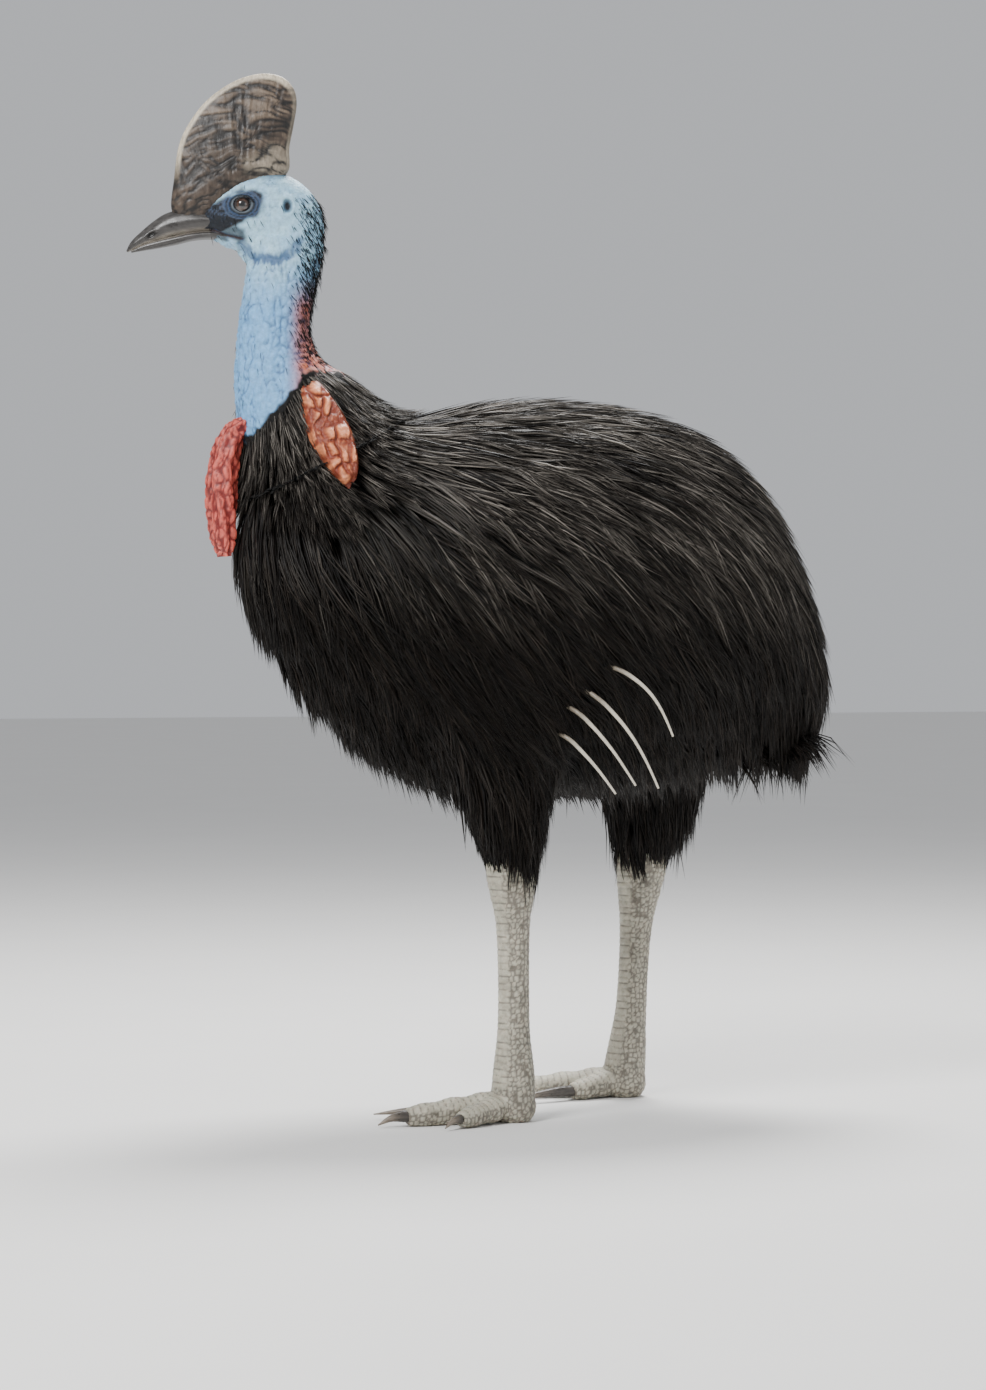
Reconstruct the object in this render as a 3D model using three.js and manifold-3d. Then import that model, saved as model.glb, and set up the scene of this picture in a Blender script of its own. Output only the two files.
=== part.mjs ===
// A southern cassowary, life size, standing still with one foot ahead of the other.
// Millimetres, +Z up. The bird faces -X and its left side is towards -Y.
// The origin is on the ground, under the middle of the bird's bounding box.

import * as THREE from "three";
import { mergeVertices } from "three/addons/utils/BufferGeometryUtils.js";
import Module from "manifold-3d";

const wasm = await Module();
wasm.setup();

// Driving sizes
const gap = 0.35; // left between two nodes that touch
const torsoHalf = { length: 448, height: 292, width: 222 };
const torsoMiddle = { x: -39, z: 742 };
const chestRise = 84; // how far the middle line climbs at the chest
const rumpDrop = 144; // how far it falls at the rump
const headPivot = new THREE.Vector3(-409, 0, 1275);
const headTurn = (-10 * Math.PI) / 180; // the head looks a little to the right
const eyeRadius = 13.5;
const topTaper = 0.12; // how much narrower the torso is above its middle line
const coreInset = 28; // the core under the locks lies half way down the coat
const lockSink = 8; // a lock's root is sunk this far in the core

const colours = {
  coat: 0x14110f,
  skin: 0x5f8fb5,
  casque: 0x5a4936,
  bill: 0x2b2724,
  eye: 0x2a1408,
  wattle: 0xb3332a,
  patch: 0xc2563a,
  leg: 0x8d8a72,
  claw: 0x2e2a26,
  quill: 0x9a8f7a,
};

const vec = (x, y, z) => new THREE.Vector3(x, y, z);
const { lerp, clamp, smoothstep, degToRad } = THREE.MathUtils;

// Seeded draws, even between -1 and 1
function drawsFrom(seed) {
  const [factor, span] = [48271, 2147483647];
  let state = seed;
  return () => {
    state = (state * factor) % span;
    return (2 * state) / span - 1;
  };
}

// Solids

function solidOf(geometry) {
  const bare = geometry.clone();
  bare.deleteAttribute("normal");
  bare.deleteAttribute("uv");
  const merged = mergeVertices(bare, 1e-3);
  const corners = new Uint32Array(merged.index.array);
  const build = () =>
    new wasm.Manifold(
      new wasm.Mesh({
        numProp: 3,
        vertProperties: merged.attributes.position.array,
        triVerts: corners,
      }),
    );
  const made = build();
  if (made.volume() > 0) return made;
  for (let i = 0; i < corners.length; i += 3) {
    [corners[i + 1], corners[i + 2]] = [corners[i + 2], corners[i + 1]];
  }
  return build();
}

const joined = (solids) => solids.reduce((whole, piece) => whole.add(piece));

function largest(solid) {
  const bodies = solid.decompose();
  return bodies.reduce((best, body) => (body.volume() > best.volume() ? body : best));
}

// Corners that touch another sheet's are drawn a little into their own body.
function drawnApart(geometry, step = 0.03) {
  geometry.computeVertexNormals();
  const { position, normal } = geometry.attributes;
  const places = new Map();
  for (let i = 0; i < position.count; i++) {
    const place = [position.getX(i), position.getY(i), position.getZ(i)];
    const key = place.map((value) => Math.round(value * 400)).join();
    places.set(key, [...(places.get(key) ?? []), i]);
  }
  for (const touching of places.values()) {
    if (touching.length < 2) continue;
    for (const i of touching) {
      const [x, y, z] = [normal.getX(i), normal.getY(i), normal.getZ(i)];
      const [fromX, fromY, fromZ] = [position.getX(i), position.getY(i), position.getZ(i)];
      position.setXYZ(i, fromX - step * x, fromY - step * y, fromZ - step * z);
    }
  }
  geometry.deleteAttribute("normal");
  return geometry;
}

function geometryOf(solid) {
  const kept = largest(solid).getMesh();
  const geometry = new THREE.BufferGeometry();
  geometry.setAttribute("position", new THREE.BufferAttribute(kept.vertProperties, 3));
  geometry.setIndex(new THREE.BufferAttribute(kept.triVerts, 1));
  return drawnApart(geometry);
}

// The node's largest body. Merging its points can part what hangs by an edge, so what is
// kept is made again until it stays whole.
function meshOf(name, solid, colour, roughness = 0.6) {
  let geometry = geometryOf(solid);
  let whole = solidOf(geometry);
  while (whole.decompose().length > 1) {
    geometry = geometryOf(whole);
    whole = solidOf(geometry);
  }
  geometry.computeVertexNormals();
  const material = new THREE.MeshStandardMaterial({ color: colour, roughness, metalness: 0 });
  const mesh = new THREE.Mesh(geometry, material);
  mesh.name = name;
  return mesh;
}

// A sphere with its poles on X, whose points are moved by place(direction).
function roundForm(columns, rings, place) {
  const geometry = new THREE.SphereGeometry(1, columns, rings);
  geometry.rotateZ(Math.PI / 2);
  const position = geometry.attributes.position;
  const direction = vec(0, 0, 0);
  for (let i = 0; i < position.count; i++) {
    direction.fromBufferAttribute(position, i);
    const p = place(direction);
    position.setXYZ(i, p.x, p.y, p.z);
  }
  return geometry;
}

function ball(centre, radii, columns = 12, rings = 8) {
  return roundForm(columns, rings, (d) => d.clone().multiply(radii).add(centre));
}

// A closed tube through stations {at, deep, wide}: `side` is the way its width lies.
// bend(angle, share) scales the section, for folds and ridges.
function tube(stations, sides, steps, side, grow = 0, bend = () => 1) {
  const line = new THREE.CatmullRomCurve3(stations.map((s) => s.at), false, "catmullrom", 0.5);
  const sizes = new THREE.CatmullRomCurve3(
    stations.map((s) => vec(s.deep, s.wide, 0)),
    false,
    "catmullrom",
    0.5,
  );
  const points = [];
  const corners = [];
  for (let i = 0; i <= steps; i++) {
    const share = i / steps;
    const along = line.getTangent(share);
    const beyond = i === 0 ? -grow : i === steps ? grow : 0;
    const centre = line.getPoint(share).addScaledVector(along, beyond);
    const size = sizes.getPoint(share);
    const across = side.clone().addScaledVector(along, -side.dot(along)).normalize();
    const depth = across.clone().cross(along);
    for (let j = 0; j < sides; j++) {
      const angle = (j / sides) * 2 * Math.PI;
      const scale = bend(angle, share);
      const p = centre
        .clone()
        .addScaledVector(across, Math.cos(angle) * (size.y * scale + grow))
        .addScaledVector(depth, Math.sin(angle) * (size.x * scale + grow));
      points.push(p.x, p.y, p.z);
      if (i < steps) {
        const a = i * sides + j;
        const b = i * sides + ((j + 1) % sides);
        corners.push(a, b, a + sides, b, b + sides, a + sides);
      }
    }
  }
  const first = points.length / 3;
  const last = first + 1;
  const start = line.getPoint(0).addScaledVector(line.getTangent(0), -grow);
  const end = line.getPoint(1).addScaledVector(line.getTangent(1), grow);
  points.push(start.x, start.y, start.z, end.x, end.y, end.z);
  for (let j = 0; j < sides; j++) {
    const next = (j + 1) % sides;
    corners.push(first, next, j, last, steps * sides + j, steps * sides + next);
  }
  const geometry = new THREE.BufferGeometry();
  geometry.setAttribute("position", new THREE.Float32BufferAttribute(points, 3));
  geometry.setIndex(corners);
  return geometry;
}

const station = (x, y, z, deep, wide) => ({ at: vec(x, y, z), deep, wide });

// A large box on one side of the plane through `point`, across `normal`.
function halfSpace(point, normal) {
  const size = 4000;
  const box = new THREE.BoxGeometry(size, size, size);
  box.translate(0, 0, size / 2);
  const turn = new THREE.Quaternion().setFromUnitVectors(vec(0, 0, 1), normal.clone().normalize());
  box.applyQuaternion(turn);
  box.translate(point.x, point.y, point.z);
  return solidOf(box);
}

// Torso: an egg with a bent middle line. d.x runs from -1 at the chest to 1 at the rump.

function torsoAt(along) {
  const front = Math.max(0, -along);
  const rear = Math.max(0, along);
  return {
    z: torsoMiddle.z + chestRise * front ** 2.5 - rumpDrop * rear ** 6,
    high: torsoHalf.height * (1 + 0.09 * rear ** 2),
    wide: torsoHalf.width * (1 - 0.08 * front ** 2 - 0.14 * rear ** 2),
  };
}

function torsoPoint(d, inset) {
  const at = torsoAt(d.x);
  return vec(
    torsoMiddle.x + (torsoHalf.length - inset) * d.x,
    (at.wide - inset) * (1 - topTaper * d.z) * d.y,
    at.z + (at.high - inset) * d.z,
  );
}

const torsoForm = (inset, columns = 16, rings = 13) =>
  roundForm(columns, rings, (d) => torsoPoint(d, inset));

// Neck, from inside the torso up into the head
const neckStations = [
  station(-300, 0, 830, 160, 158),
  station(-345, 0, 925, 134, 130),
  station(-383, 0, 1000, 101, 94),
  station(-408, 0, 1045, 76, 68),
  station(-420, 0, 1082, 60, 54),
  station(-425, 0, 1130, 50, 45),
  station(-418, 0, 1185, 48, 42),
  station(-408, 0, 1236, 50, 42),
  station(-402, 0, 1262, 48, 40),
  station(-402, 0, 1286, 38, 34),
];
const lateral = vec(0, 1, 0);
const neckForm = (stations, grow) => tube(stations, 14, 17, lateral, grow);

// Distance fields: how far a point is outside a form, in millimetres near its surface

function torsoField(p) {
  const along = (p.x - torsoMiddle.x) / torsoHalf.length;
  const at = torsoAt(clamp(along, -1, 1));
  const up = (p.z - at.z) / at.high;
  const out = p.y / (at.wide * (1 - topTaper * clamp(up, -1, 1)));
  return (Math.hypot(along, up, out) - 1) * torsoHalf.width;
}

function tubeFrames(stations, side) {
  const line = new THREE.CatmullRomCurve3(stations.map((s) => s.at), false, "catmullrom", 0.5);
  const last = stations.length - 1;
  const count = last * 3;
  return Array.from({ length: count + 1 }, (_, i) => {
    const share = i / count;
    const before = Math.min(last - 1, Math.floor(share * last));
    const part = share * last - before;
    const along = line.getTangent(share);
    const across = side.clone().addScaledVector(along, -side.dot(along)).normalize();
    const [a, b] = [stations[before], stations[before + 1]];
    return {
      at: line.getPoint(share),
      along,
      across,
      depth: across.clone().cross(along),
      deep: lerp(a.deep, b.deep, part),
      wide: lerp(a.wide, b.wide, part),
    };
  });
}

function tubeField(p, frames) {
  let nearest = Infinity;
  let field = Infinity;
  for (let i = 0; i + 1 < frames.length; i++) {
    const [a, b] = [frames[i], frames[i + 1]];
    const step = b.at.clone().sub(a.at);
    const part = clamp(p.clone().sub(a.at).dot(step) / step.lengthSq(), 0, 1);
    const offset = p.clone().sub(a.at).addScaledVector(step, -part);
    if (offset.length() >= nearest) continue;
    nearest = offset.length();
    const deep = lerp(a.deep, b.deep, part);
    const wide = lerp(a.wide, b.wide, part);
    const out = Math.hypot(
      offset.dot(a.depth) / deep,
      offset.dot(a.across) / wide,
      offset.dot(a.along) / deep,
    );
    field = (out - 1) * Math.min(deep, wide);
  }
  return field;
}

// The smaller of two fields, with the crease between them rounded off
function blended(a, b, round) {
  const near = Math.max(round - Math.abs(a - b), 0) / round;
  return Math.min(a, b) - (near * near * round) / 4;
}

// The bare skin ends on a plane that is low at the throat and high at the nape.
const skinEdge = { point: vec(-420, 0, 1028), normal: vec(-0.47, 0, 0.882) };

// Legs: side is -1 on the left and 1 on the right
const legs = {
  left: {
    side: -1,
    drumstick: [
      station(-140, -112, 640, 100, 78),
      station(-128, -120, 520, 86, 76),
      station(-120, -121, 478, 78, 70),
      station(-111, -120, 422, 62, 56),
      station(-106, -118, 379, 46, 42),
      station(-104, -118, 352, 38, 34),
    ],
    shank: [
      station(-106, -118, 400, 34, 28),
      station(-104, -118, 352, 36, 29),
      station(-103, -118, 322, 31, 26),
      station(-102, -118, 280, 24, 22),
      station(-101, -118, 200, 22, 20),
      station(-101, -118, 130, 23, 22),
      station(-101, -118, 74, 29, 28),
      station(-102, -118, 34, 31, 33),
      station(-104, -118, 8, 29, 32),
    ],
    foot: vec(-106, -118, 0),
    turn: degToRad(7),
  },
  right: {
    side: 1,
    drumstick: [
      station(150, 112, 640, 104, 80),
      station(172, 121, 520, 92, 80),
      station(176, 124, 474, 86, 76),
      station(174, 125, 415, 68, 62),
      station(168, 126, 372, 50, 46),
      station(165, 126, 348, 42, 36),
    ],
    shank: [
      station(168, 126, 396, 36, 29),
      station(165, 126, 348, 38, 30),
      station(161, 126, 312, 33, 27),
      station(157, 127, 265, 25, 22),
      station(153, 127, 200, 22, 20),
      station(149, 128, 130, 23, 22),
      station(143, 128, 74, 28, 28),
      station(138, 128, 34, 31, 33),
      station(135, 128, 8, 29, 32),
    ],
    foot: vec(134, 128, 0),
    turn: degToRad(-7),
  },
};

const neckFrames = tubeFrames(neckStations, lateral);
const thighFrames = Object.values(legs).map((leg) => tubeFrames(leg.drumstick, lateral));
const crease = 40; // how far round the meeting of two forms is rounded

// The whole feathered body: torso, neck and thighs
function bodyField(p) {
  const fields = [neckFrames, ...thighFrames].map((frames) => tubeField(p, frames));
  return fields.reduce((field, other) => blended(field, other, crease), torsoField(p));
}

// How far out to the side the bird's surface lies at a height
function flankAt(x, z) {
  let [inside, outside] = [0, 2 * torsoHalf.width];
  for (let halving = 0; halving < 12; halving++) {
    const middle = (inside + outside) / 2;
    if (bodyField(vec(x, middle, z)) < 0) inside = middle;
    else outside = middle;
  }
  return outside;
}

// How far the core lies under the coat's outline: nothing at the edge of the bare skin
// and little at the hocks
function coreDepth(p) {
  const belowEdge = -p.clone().sub(skinEdge.point).dot(skinEdge.normal);
  const atNeck = smoothstep(belowEdge, -5, 110);
  const atHock = lerp(0.3, 1, smoothstep(p.z, 350, 520));
  return coreInset * Math.min(atNeck, atHock);
}

const insetBy = (stations) =>
  stations.map((s) => {
    const depth = coreDepth(s.at);
    return { at: s.at, deep: s.deep - depth, wide: s.wide - depth };
  });
const neckCore = insetBy(neckStations);

// The coat's locks

function slopeAt(p) {
  const reach = 2;
  const slope = [vec(reach, 0, 0), vec(0, reach, 0), vec(0, 0, reach)].map(
    (step) => bodyField(p.clone().add(step)) - bodyField(p.clone().sub(step)),
  );
  return vec(...slope).divideScalar(2 * reach);
}

// Moves a point to a level: so many millimetres outside the outline
function settled(p, level) {
  const q = p.clone();
  for (let pass = 0; pass < 2; pass++) {
    const slope = slopeAt(q);
    const steep = slope.length();
    q.addScaledVector(slope, (level - bodyField(q) / steep) / steep);
  }
  return q;
}

// The way the coat lies: back along the spine, ever steeper down the sides, chest and rump
function lieAt(p) {
  const along = clamp((p.x - torsoMiddle.x) / torsoHalf.length, -1, 1);
  const at = torsoAt(along);
  const up = clamp((p.z - at.z) / at.high, 0, 1);
  const body = 50 - 34 * up ** 1.5 + 24 * along ** 2;
  const onNeck = smoothstep(p.z, 880, 1000) * smoothstep(-p.x, 230, 330);
  const onThigh = 1 - smoothstep(p.z, 440, 540);
  const droop = degToRad(lerp(lerp(body, 68, onNeck), 84, onThigh));
  return vec(Math.cos(droop), 0, -Math.sin(droop));
}

const lockSteps = 10;
const lockShares = [0, 0.3, 0.7, 1];
const lockWidths = [0.6, 1, 0.72, 0];
const lockThicks = [1, 1, 0.75, 0];
const overhang = -0.35; // where the outline turns under, long locks leave it and hang
const hanging = 48; // how much of a lock hangs free there

// A lock's middle line, from its root in the core out to the coat's outline
function lockOf(root, size, draw) {
  const length = size.length * (1 + 0.12 * draw());
  const wide = size.wide * (1 + 0.1 * draw());
  const turn = degToRad(9) * draw();
  const curl = degToRad(11) * draw();
  const proud = (size.proud ?? 2) + 3 * draw();
  const rootLevel = size.rootLevel ?? -(coreDepth(root) + lockSink);
  const overBelly = slopeAt(root).normalize().z < overhang;
  const track = [];
  let p = root.clone();
  let way = lieAt(p);
  let step = length / lockSteps;
  let hangs = false;
  for (let i = 0; i <= lockSteps; i++) {
    const share = i / lockSteps;
    const out = slopeAt(p).normalize();
    if (!hangs && !overBelly && out.z < overhang) {
      hangs = true;
      step = Math.min(step, hanging / Math.max(1, lockSteps - i));
    }
    if (!hangs) {
      p = settled(p, lerp(rootLevel, proud, share));
      way = lieAt(p).applyAxisAngle(out, turn + curl * share);
      way.addScaledVector(out, -way.dot(out));
    } else {
      way.lerp(vec(0, 0, -1), 0.08);
    }
    way.normalize();
    const across = way.clone().cross(out).normalize();
    track.push({ at: p.clone(), across, out: across.clone().cross(way), way: way.clone() });
    p.addScaledVector(way, step);
  }
  const frames = lockShares.map((share, i) => ({
    ...track[Math.round(share * lockSteps)],
    wide: wide * lockWidths[i],
    thick: size.thick * lockThicks[i],
  }));
  return frames;
}

// Three-sided: a flat underside between two edges, and a ridge above
function lockForm(frames, grow) {
  const points = [];
  const corners = [];
  const last = frames.length - 1;
  frames.forEach(({ at, across, out, way, wide, thick }, i) => {
    if (i === last) {
      points.push(at.clone().addScaledVector(way, 4 * grow));
      return;
    }
    const middle = at.clone().addScaledVector(way, i === 0 ? -grow : 0);
    const under = middle.clone().addScaledVector(out, -0.3 * thick - grow);
    points.push(under.clone().addScaledVector(across, wide / 2 + 2 * grow));
    points.push(under.clone().addScaledVector(across, -wide / 2 - 2 * grow));
    points.push(middle.clone().addScaledVector(out, 0.7 * thick + grow));
  });
  corners.push(0, 1, 2);
  for (let i = 0; i < last; i++) {
    for (let side = 0; side < 3; side++) {
      const [a, b] = [3 * i + side, 3 * i + ((side + 1) % 3)];
      if (i === last - 1) corners.push(b, a, 3 * last);
      else corners.push(b, a, a + 3, b, a + 3, b + 3);
    }
  }
  const geometry = new THREE.BufferGeometry().setFromPoints(points);
  geometry.setIndex(corners);
  return geometry;
}

const lockSolids = (locks, grow) => locks.map((frames) => solidOf(lockForm(frames, grow)));

const golden = Math.PI * (3 - Math.sqrt(5));
const neckClear = -6; // roots this far inside the neck are left out
const thighClear = 6; // and so are roots this near to a thigh
const within = (p, frames, clear) => tubeField(p, frames) < clear;

// Roots spread evenly over the torso: each takes a like share of its area
function torsoRoots(count) {
  const slices = 80;
  const areas = [0];
  for (let i = 0; i < slices; i++) {
    const [a, b] = [i, i + 1].map((edge) => -Math.cos((edge / slices) * Math.PI));
    const [ra, rb] = [a, b].map((along) => Math.sqrt(Math.max(0, 1 - along * along)));
    const girth = (ra + rb) * (torsoHalf.height + torsoHalf.width);
    const slant = Math.hypot((b - a) * torsoHalf.length, (rb - ra) * torsoHalf.height);
    areas.push(areas[i] + girth * slant);
  }
  return Array.from({ length: count }, (_, i) => {
    const area = ((i + 0.5) / count) * areas[slices];
    const slice = areas.findIndex((value) => value > area) - 1;
    const part = (area - areas[slice]) / (areas[slice + 1] - areas[slice]);
    const along = -Math.cos(((slice + part) / slices) * Math.PI);
    const round = Math.sqrt(1 - along * along);
    const angle = i * golden;
    return torsoPoint(vec(along, round * Math.cos(angle), round * Math.sin(angle)), 0);
  });
}

// Roots in rings round a tube, staggered from ring to ring
function ringRoots(frames, shares, around) {
  return shares.flatMap((share, ring) => {
    const frame = frames[Math.round(share * (frames.length - 1))];
    return Array.from({ length: around }, (_, i) => {
      const angle = ((i + (ring % 2) / 2) / around) * 2 * Math.PI;
      return frame.at
        .clone()
        .addScaledVector(frame.across, Math.cos(angle) * frame.wide)
        .addScaledVector(frame.depth, Math.sin(angle) * frame.deep);
    });
  });
}

const lockKinds = {
  body: { length: 252, wide: 110, thick: 6 },
  neck: { length: 108, wide: 62, thick: 5 },
  thigh: { length: 100, wide: 46, thick: 5 },
  wing: { length: 150, wide: 74, thick: 5, rootLevel: -14, proud: 7 },
};

// The rump is parted from the torso by a plane that leans back as the locks there do
const rumpCut = { point: vec(185, 0, 900), normal: vec(0.87, 0, 0.5) };
const behindCut = (p) => p.clone().sub(rumpCut.point).dot(rumpCut.normal) > 0;

// Wings: a small stub on each flank under locks of its own
const wingStub = { x: -60, z: 650, depth: 30, length: 48, deep: 24, high: 52 };
const stubCentre = (side) =>
  vec(wingStub.x, side * (flankAt(wingStub.x, wingStub.z) - wingStub.depth), wingStub.z);

// Folded bare patches on the sides of the neck's foot
const patch = { rows: 4, top: [-386, 1052], foot: [-346, 918], high: 30, proud: 14, keepOff: 38 };
const patchLine = new THREE.Line3(
  vec(patch.top[0], flankAt(...patch.top), patch.top[1]),
  vec(patch.foot[0], flankAt(...patch.foot), patch.foot[1]),
);

// Locks that would run through a wing's stub or a bare patch are left out
function clearOfBare(frames) {
  return frames.slice(1).every(({ at }) => {
    const p = vec(at.x, Math.abs(at.y), at.z);
    const stub = p.clone().sub(stubCentre(1)).divide(vec(wingStub.length, wingStub.deep, wingStub.high));
    const nearest = patchLine.closestPointToPoint(p, true, vec(0, 0, 0));
    return stub.length() > 1.15 && nearest.distanceTo(p) > patch.keepOff;
  });
}

const locksOn = (roots, size, draw) => roots.map((root) => lockOf(root, size, draw));

// Places are taken one by one, each clear of those before it: side by side by a lock's
// width, and one behind another by a row
const spacing = { candidates: 1500, beside: 106, stagger: 56, row: 140, column: 49 };
function thinnedOut(candidates) {
  const kept = [];
  for (const p of candidates) {
    const out = slopeAt(p).normalize();
    const way = lieAt(p);
    way.addScaledVector(out, -way.dot(out)).normalize();
    const across = way.clone().cross(out);
    const free = kept.every((other) => {
      const apart = other.clone().sub(p);
      if (apart.length() > spacing.row * 1.5) return true;
      const beside = Math.abs(apart.dot(across));
      const behind = Math.abs(apart.dot(way));
      if (beside < spacing.column) return behind > spacing.row;
      return beside > spacing.beside || behind > spacing.stagger;
    });
    if (free) kept.push(p);
  }
  return kept;
}

const bodyRoots = thinnedOut(
  torsoRoots(spacing.candidates).filter(
    (p) =>
      !within(p, neckFrames, neckClear) &&
      !thighFrames.some((frames) => within(p, frames, thighClear)),
  ),
);
const drawBody = drawsFrom(7);
const bodyLocks = bodyRoots.map((root) => ({ root, frames: lockOf(root, lockKinds.body, drawBody) }));
const torsoLocks = bodyLocks
  .filter(({ root, frames }) => !behindCut(root) && clearOfBare(frames))
  .map(({ frames }) => frames);
const rumpLocks = bodyLocks.filter(({ root }) => behindCut(root)).map(({ frames }) => frames);

const edgeHeight = (p) => p.clone().sub(skinEdge.point).dot(skinEdge.normal);
const offTorso = (p) => torsoField(p) > neckClear;
const neckRoots = ringRoots(neckFrames, [0.37, 0.26, 0.15], 8).filter(
  (p) => edgeHeight(p) < -14 && offTorso(p),
);
const neckLocks = locksOn(neckRoots, lockKinds.neck, drawsFrom(11)).filter(clearOfBare);

const thighLocks = thighFrames.map((frames, i) =>
  locksOn(ringRoots(frames, [0.28, 0.47, 0.66], 6).filter(offTorso), lockKinds.thigh, drawsFrom(19 + i)),
);

// Feet: three toes each, modelled facing -X round the ankle, with the inner toe towards
// the bird's middle. splay is in degrees, away from the middle.
const toes = {
  inner: { length: 92, splay: -27, radius: 17, claw: 105, clawRadius: 8.5 },
  middle: { length: 158, splay: 0, radius: 19, claw: 44, clawRadius: 9 },
  outer: { length: 112, splay: 29, radius: 16, claw: 34, clawRadius: 7.5 },
};
const pads = 3; // swellings along each toe

function toeWay(toe, side) {
  const angle = degToRad(toe.splay);
  return vec(-Math.cos(angle), Math.sin(angle) * side, 0);
}

function toeForm(toe, side, grow) {
  const way = toeWay(toe, side);
  const across = vec(0, 0, 1).cross(way);
  const heights = [26, 21, 17, 13];
  const stations = heights.map((height, i) => {
    const share = i / (heights.length - 1);
    const thick = toe.radius * (1.12 - 0.38 * share);
    const out = way.clone().multiplyScalar(toe.length * share * 0.97 - 4);
    return { at: vec(out.x, out.y, height - 1), deep: thick * 0.98 + 1, wide: thick };
  });
  return tube(stations, 7, 9, across, grow, (angle, share) =>
    1 + 0.07 * Math.cos(share * pads * 2 * Math.PI),
  );
}

function clawForm(toe, side, grow) {
  const way = toeWay(toe, side);
  const across = vec(0, 0, 1).cross(way);
  const from = toe.length - 12;
  const drop = toe.claw > 60 ? 5 : 9;
  const shape = [
    [0, 13.5, 1],
    [0.3, 14.5, 0.86],
    [0.65, 12.5, 0.52],
    [1, 13 - drop, 0.1],
  ];
  const stations = shape.map(([share, height, size]) => {
    const out = way.clone().multiplyScalar(from + (toe.claw + 12) * share);
    return {
      at: vec(out.x, out.y, height),
      deep: toe.clawRadius * size * 1.1,
      wide: toe.clawRadius * size,
    };
  });
  return tube(stations, 6, 6, across, grow);
}

// Head, in its own frame: the pivot is at the top of the neck and the bill points to -X

function headAt(along) {
  return {
    z: 22 - 4 * along - 12 * along ** 2,
    high: 60 + 16 * along - 4 * along ** 2,
    wide: 36 + 5 * along,
  };
}
const headMiddle = -34.5;
const headHalf = 90.5;

function headPoint(d, grow) {
  const at = headAt(d.x);
  return vec(
    headMiddle + (headHalf + grow) * d.x,
    (at.wide + grow) * d.y,
    at.z + (at.high + grow) * d.z,
  );
}
const headForm = (grow, columns = 20, rings = 16) =>
  roundForm(columns, rings, (d) => headPoint(d, grow));

const eyePlace = (side) => vec(-61.7, side * 26, 33.4);
const earPlace = (side) => vec(3, side * 40, 32);

// The casque's outline, from the front of its foot over the top to the back of its foot
const casqueOutline = [
  [-160, 24],
  [-158, 73],
  [-150, 123],
  [-131, 160],
  [-106, 189],
  [-70, 213],
  [-33, 223.5],
  [-4, 219],
  [13, 203],
  [17.5, 181],
  [13, 150],
  [7, 118],
  [5, 84],
  [-24, 62],
  [-84, 34],
  [-125, 12],
].map(([x, z]) => vec(x, 0, z));
const casqueCore = vec(-62, 0, 112);

function casqueForm(grow) {
  const outline = new THREE.CatmullRomCurve3(casqueOutline, true, "catmullrom", 0.5);
  const rim = 22;
  return roundForm(rim, 10, (d) => {
    // the sphere's poles go to the two sides, and its equator to the outline
    const turn = (Math.atan2(d.z, d.y) / (2 * Math.PI) + 1) % 1;
    const out = Math.sqrt(Math.max(0, 1 - d.x * d.x));
    const edge = outline.getPoint(turn);
    const spread = edge.clone().sub(casqueCore).multiplyScalar(out);
    const p = casqueCore.clone().add(spread);
    const up = clamp((p.z - 20) / 200, 0, 1);
    const thick = lerp(27, 11, up);
    const swell = Math.sign(d.x) * Math.abs(d.x) ** 0.75;
    p.y = -swell * (thick + grow);
    const push = edge.clone().sub(casqueCore).normalize().multiplyScalar(grow * out);
    return p.add(push);
  });
}

// The bill: both halves run back into the head
const billUpper = [
  station(-78, 0, 12, 17, 20),
  station(-106, 0, 13, 16.5, 19),
  station(-134, 0, 12, 18.5, 17),
  station(-160, 0, 7.5, 18, 14.5),
  station(-179, 0, -0.5, 15, 12),
  station(-200, 0, -12, 10, 8.5),
  station(-215, 0, -22, 6.2, 5.5),
  station(-225, 0, -32, 1.6, 1.6),
];
const billLower = [
  station(-66, 0, -16, 6.5, 19),
  station(-88, 0, -9.5, 6.5, 17.5),
  station(-110, 0, -7.5, 6.5, 16),
  station(-134, 0, -10, 6.5, 14),
  station(-156, 0, -15, 7, 11.5),
  station(-180, 0, -20.5, 6.5, 8.5),
  station(-200, 0, -25.5, 4.8, 5.5),
  station(-213, 0, -30, 2.6, 3),
  station(-219, 0, -32.5, 1.2, 1.4),
];
const nostrilPlace = (side) => vec(-190, side * 9.5, -8.5);

const billUpperForm = (grow) => tube(billUpper, 9, 12, lateral, grow);
const billLowerForm = (grow) => tube(billLower, 8, 12, lateral, grow);

// Wattles hang from the throat
function wattleForm(side, grow) {
  const stations = [
    station(-470, side * 17, 1000, 10, 9),
    station(-488, side * 18, 978, 14, 12),
    station(-500, side * 20, 930, 17, 13),
    station(-502, side * 22, 880, 17, 13),
    station(-500, side * 23, 835, 13, 11),
    station(-497, side * 23, 808, 5, 5),
  ];
  const folds = 3;
  return tube(stations, 9, 11, lateral, grow, (angle, share) =>
    1 + 0.14 * Math.cos(folds * angle) + 0.05 * Math.cos(share * 9 * Math.PI),
  );
}


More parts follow.
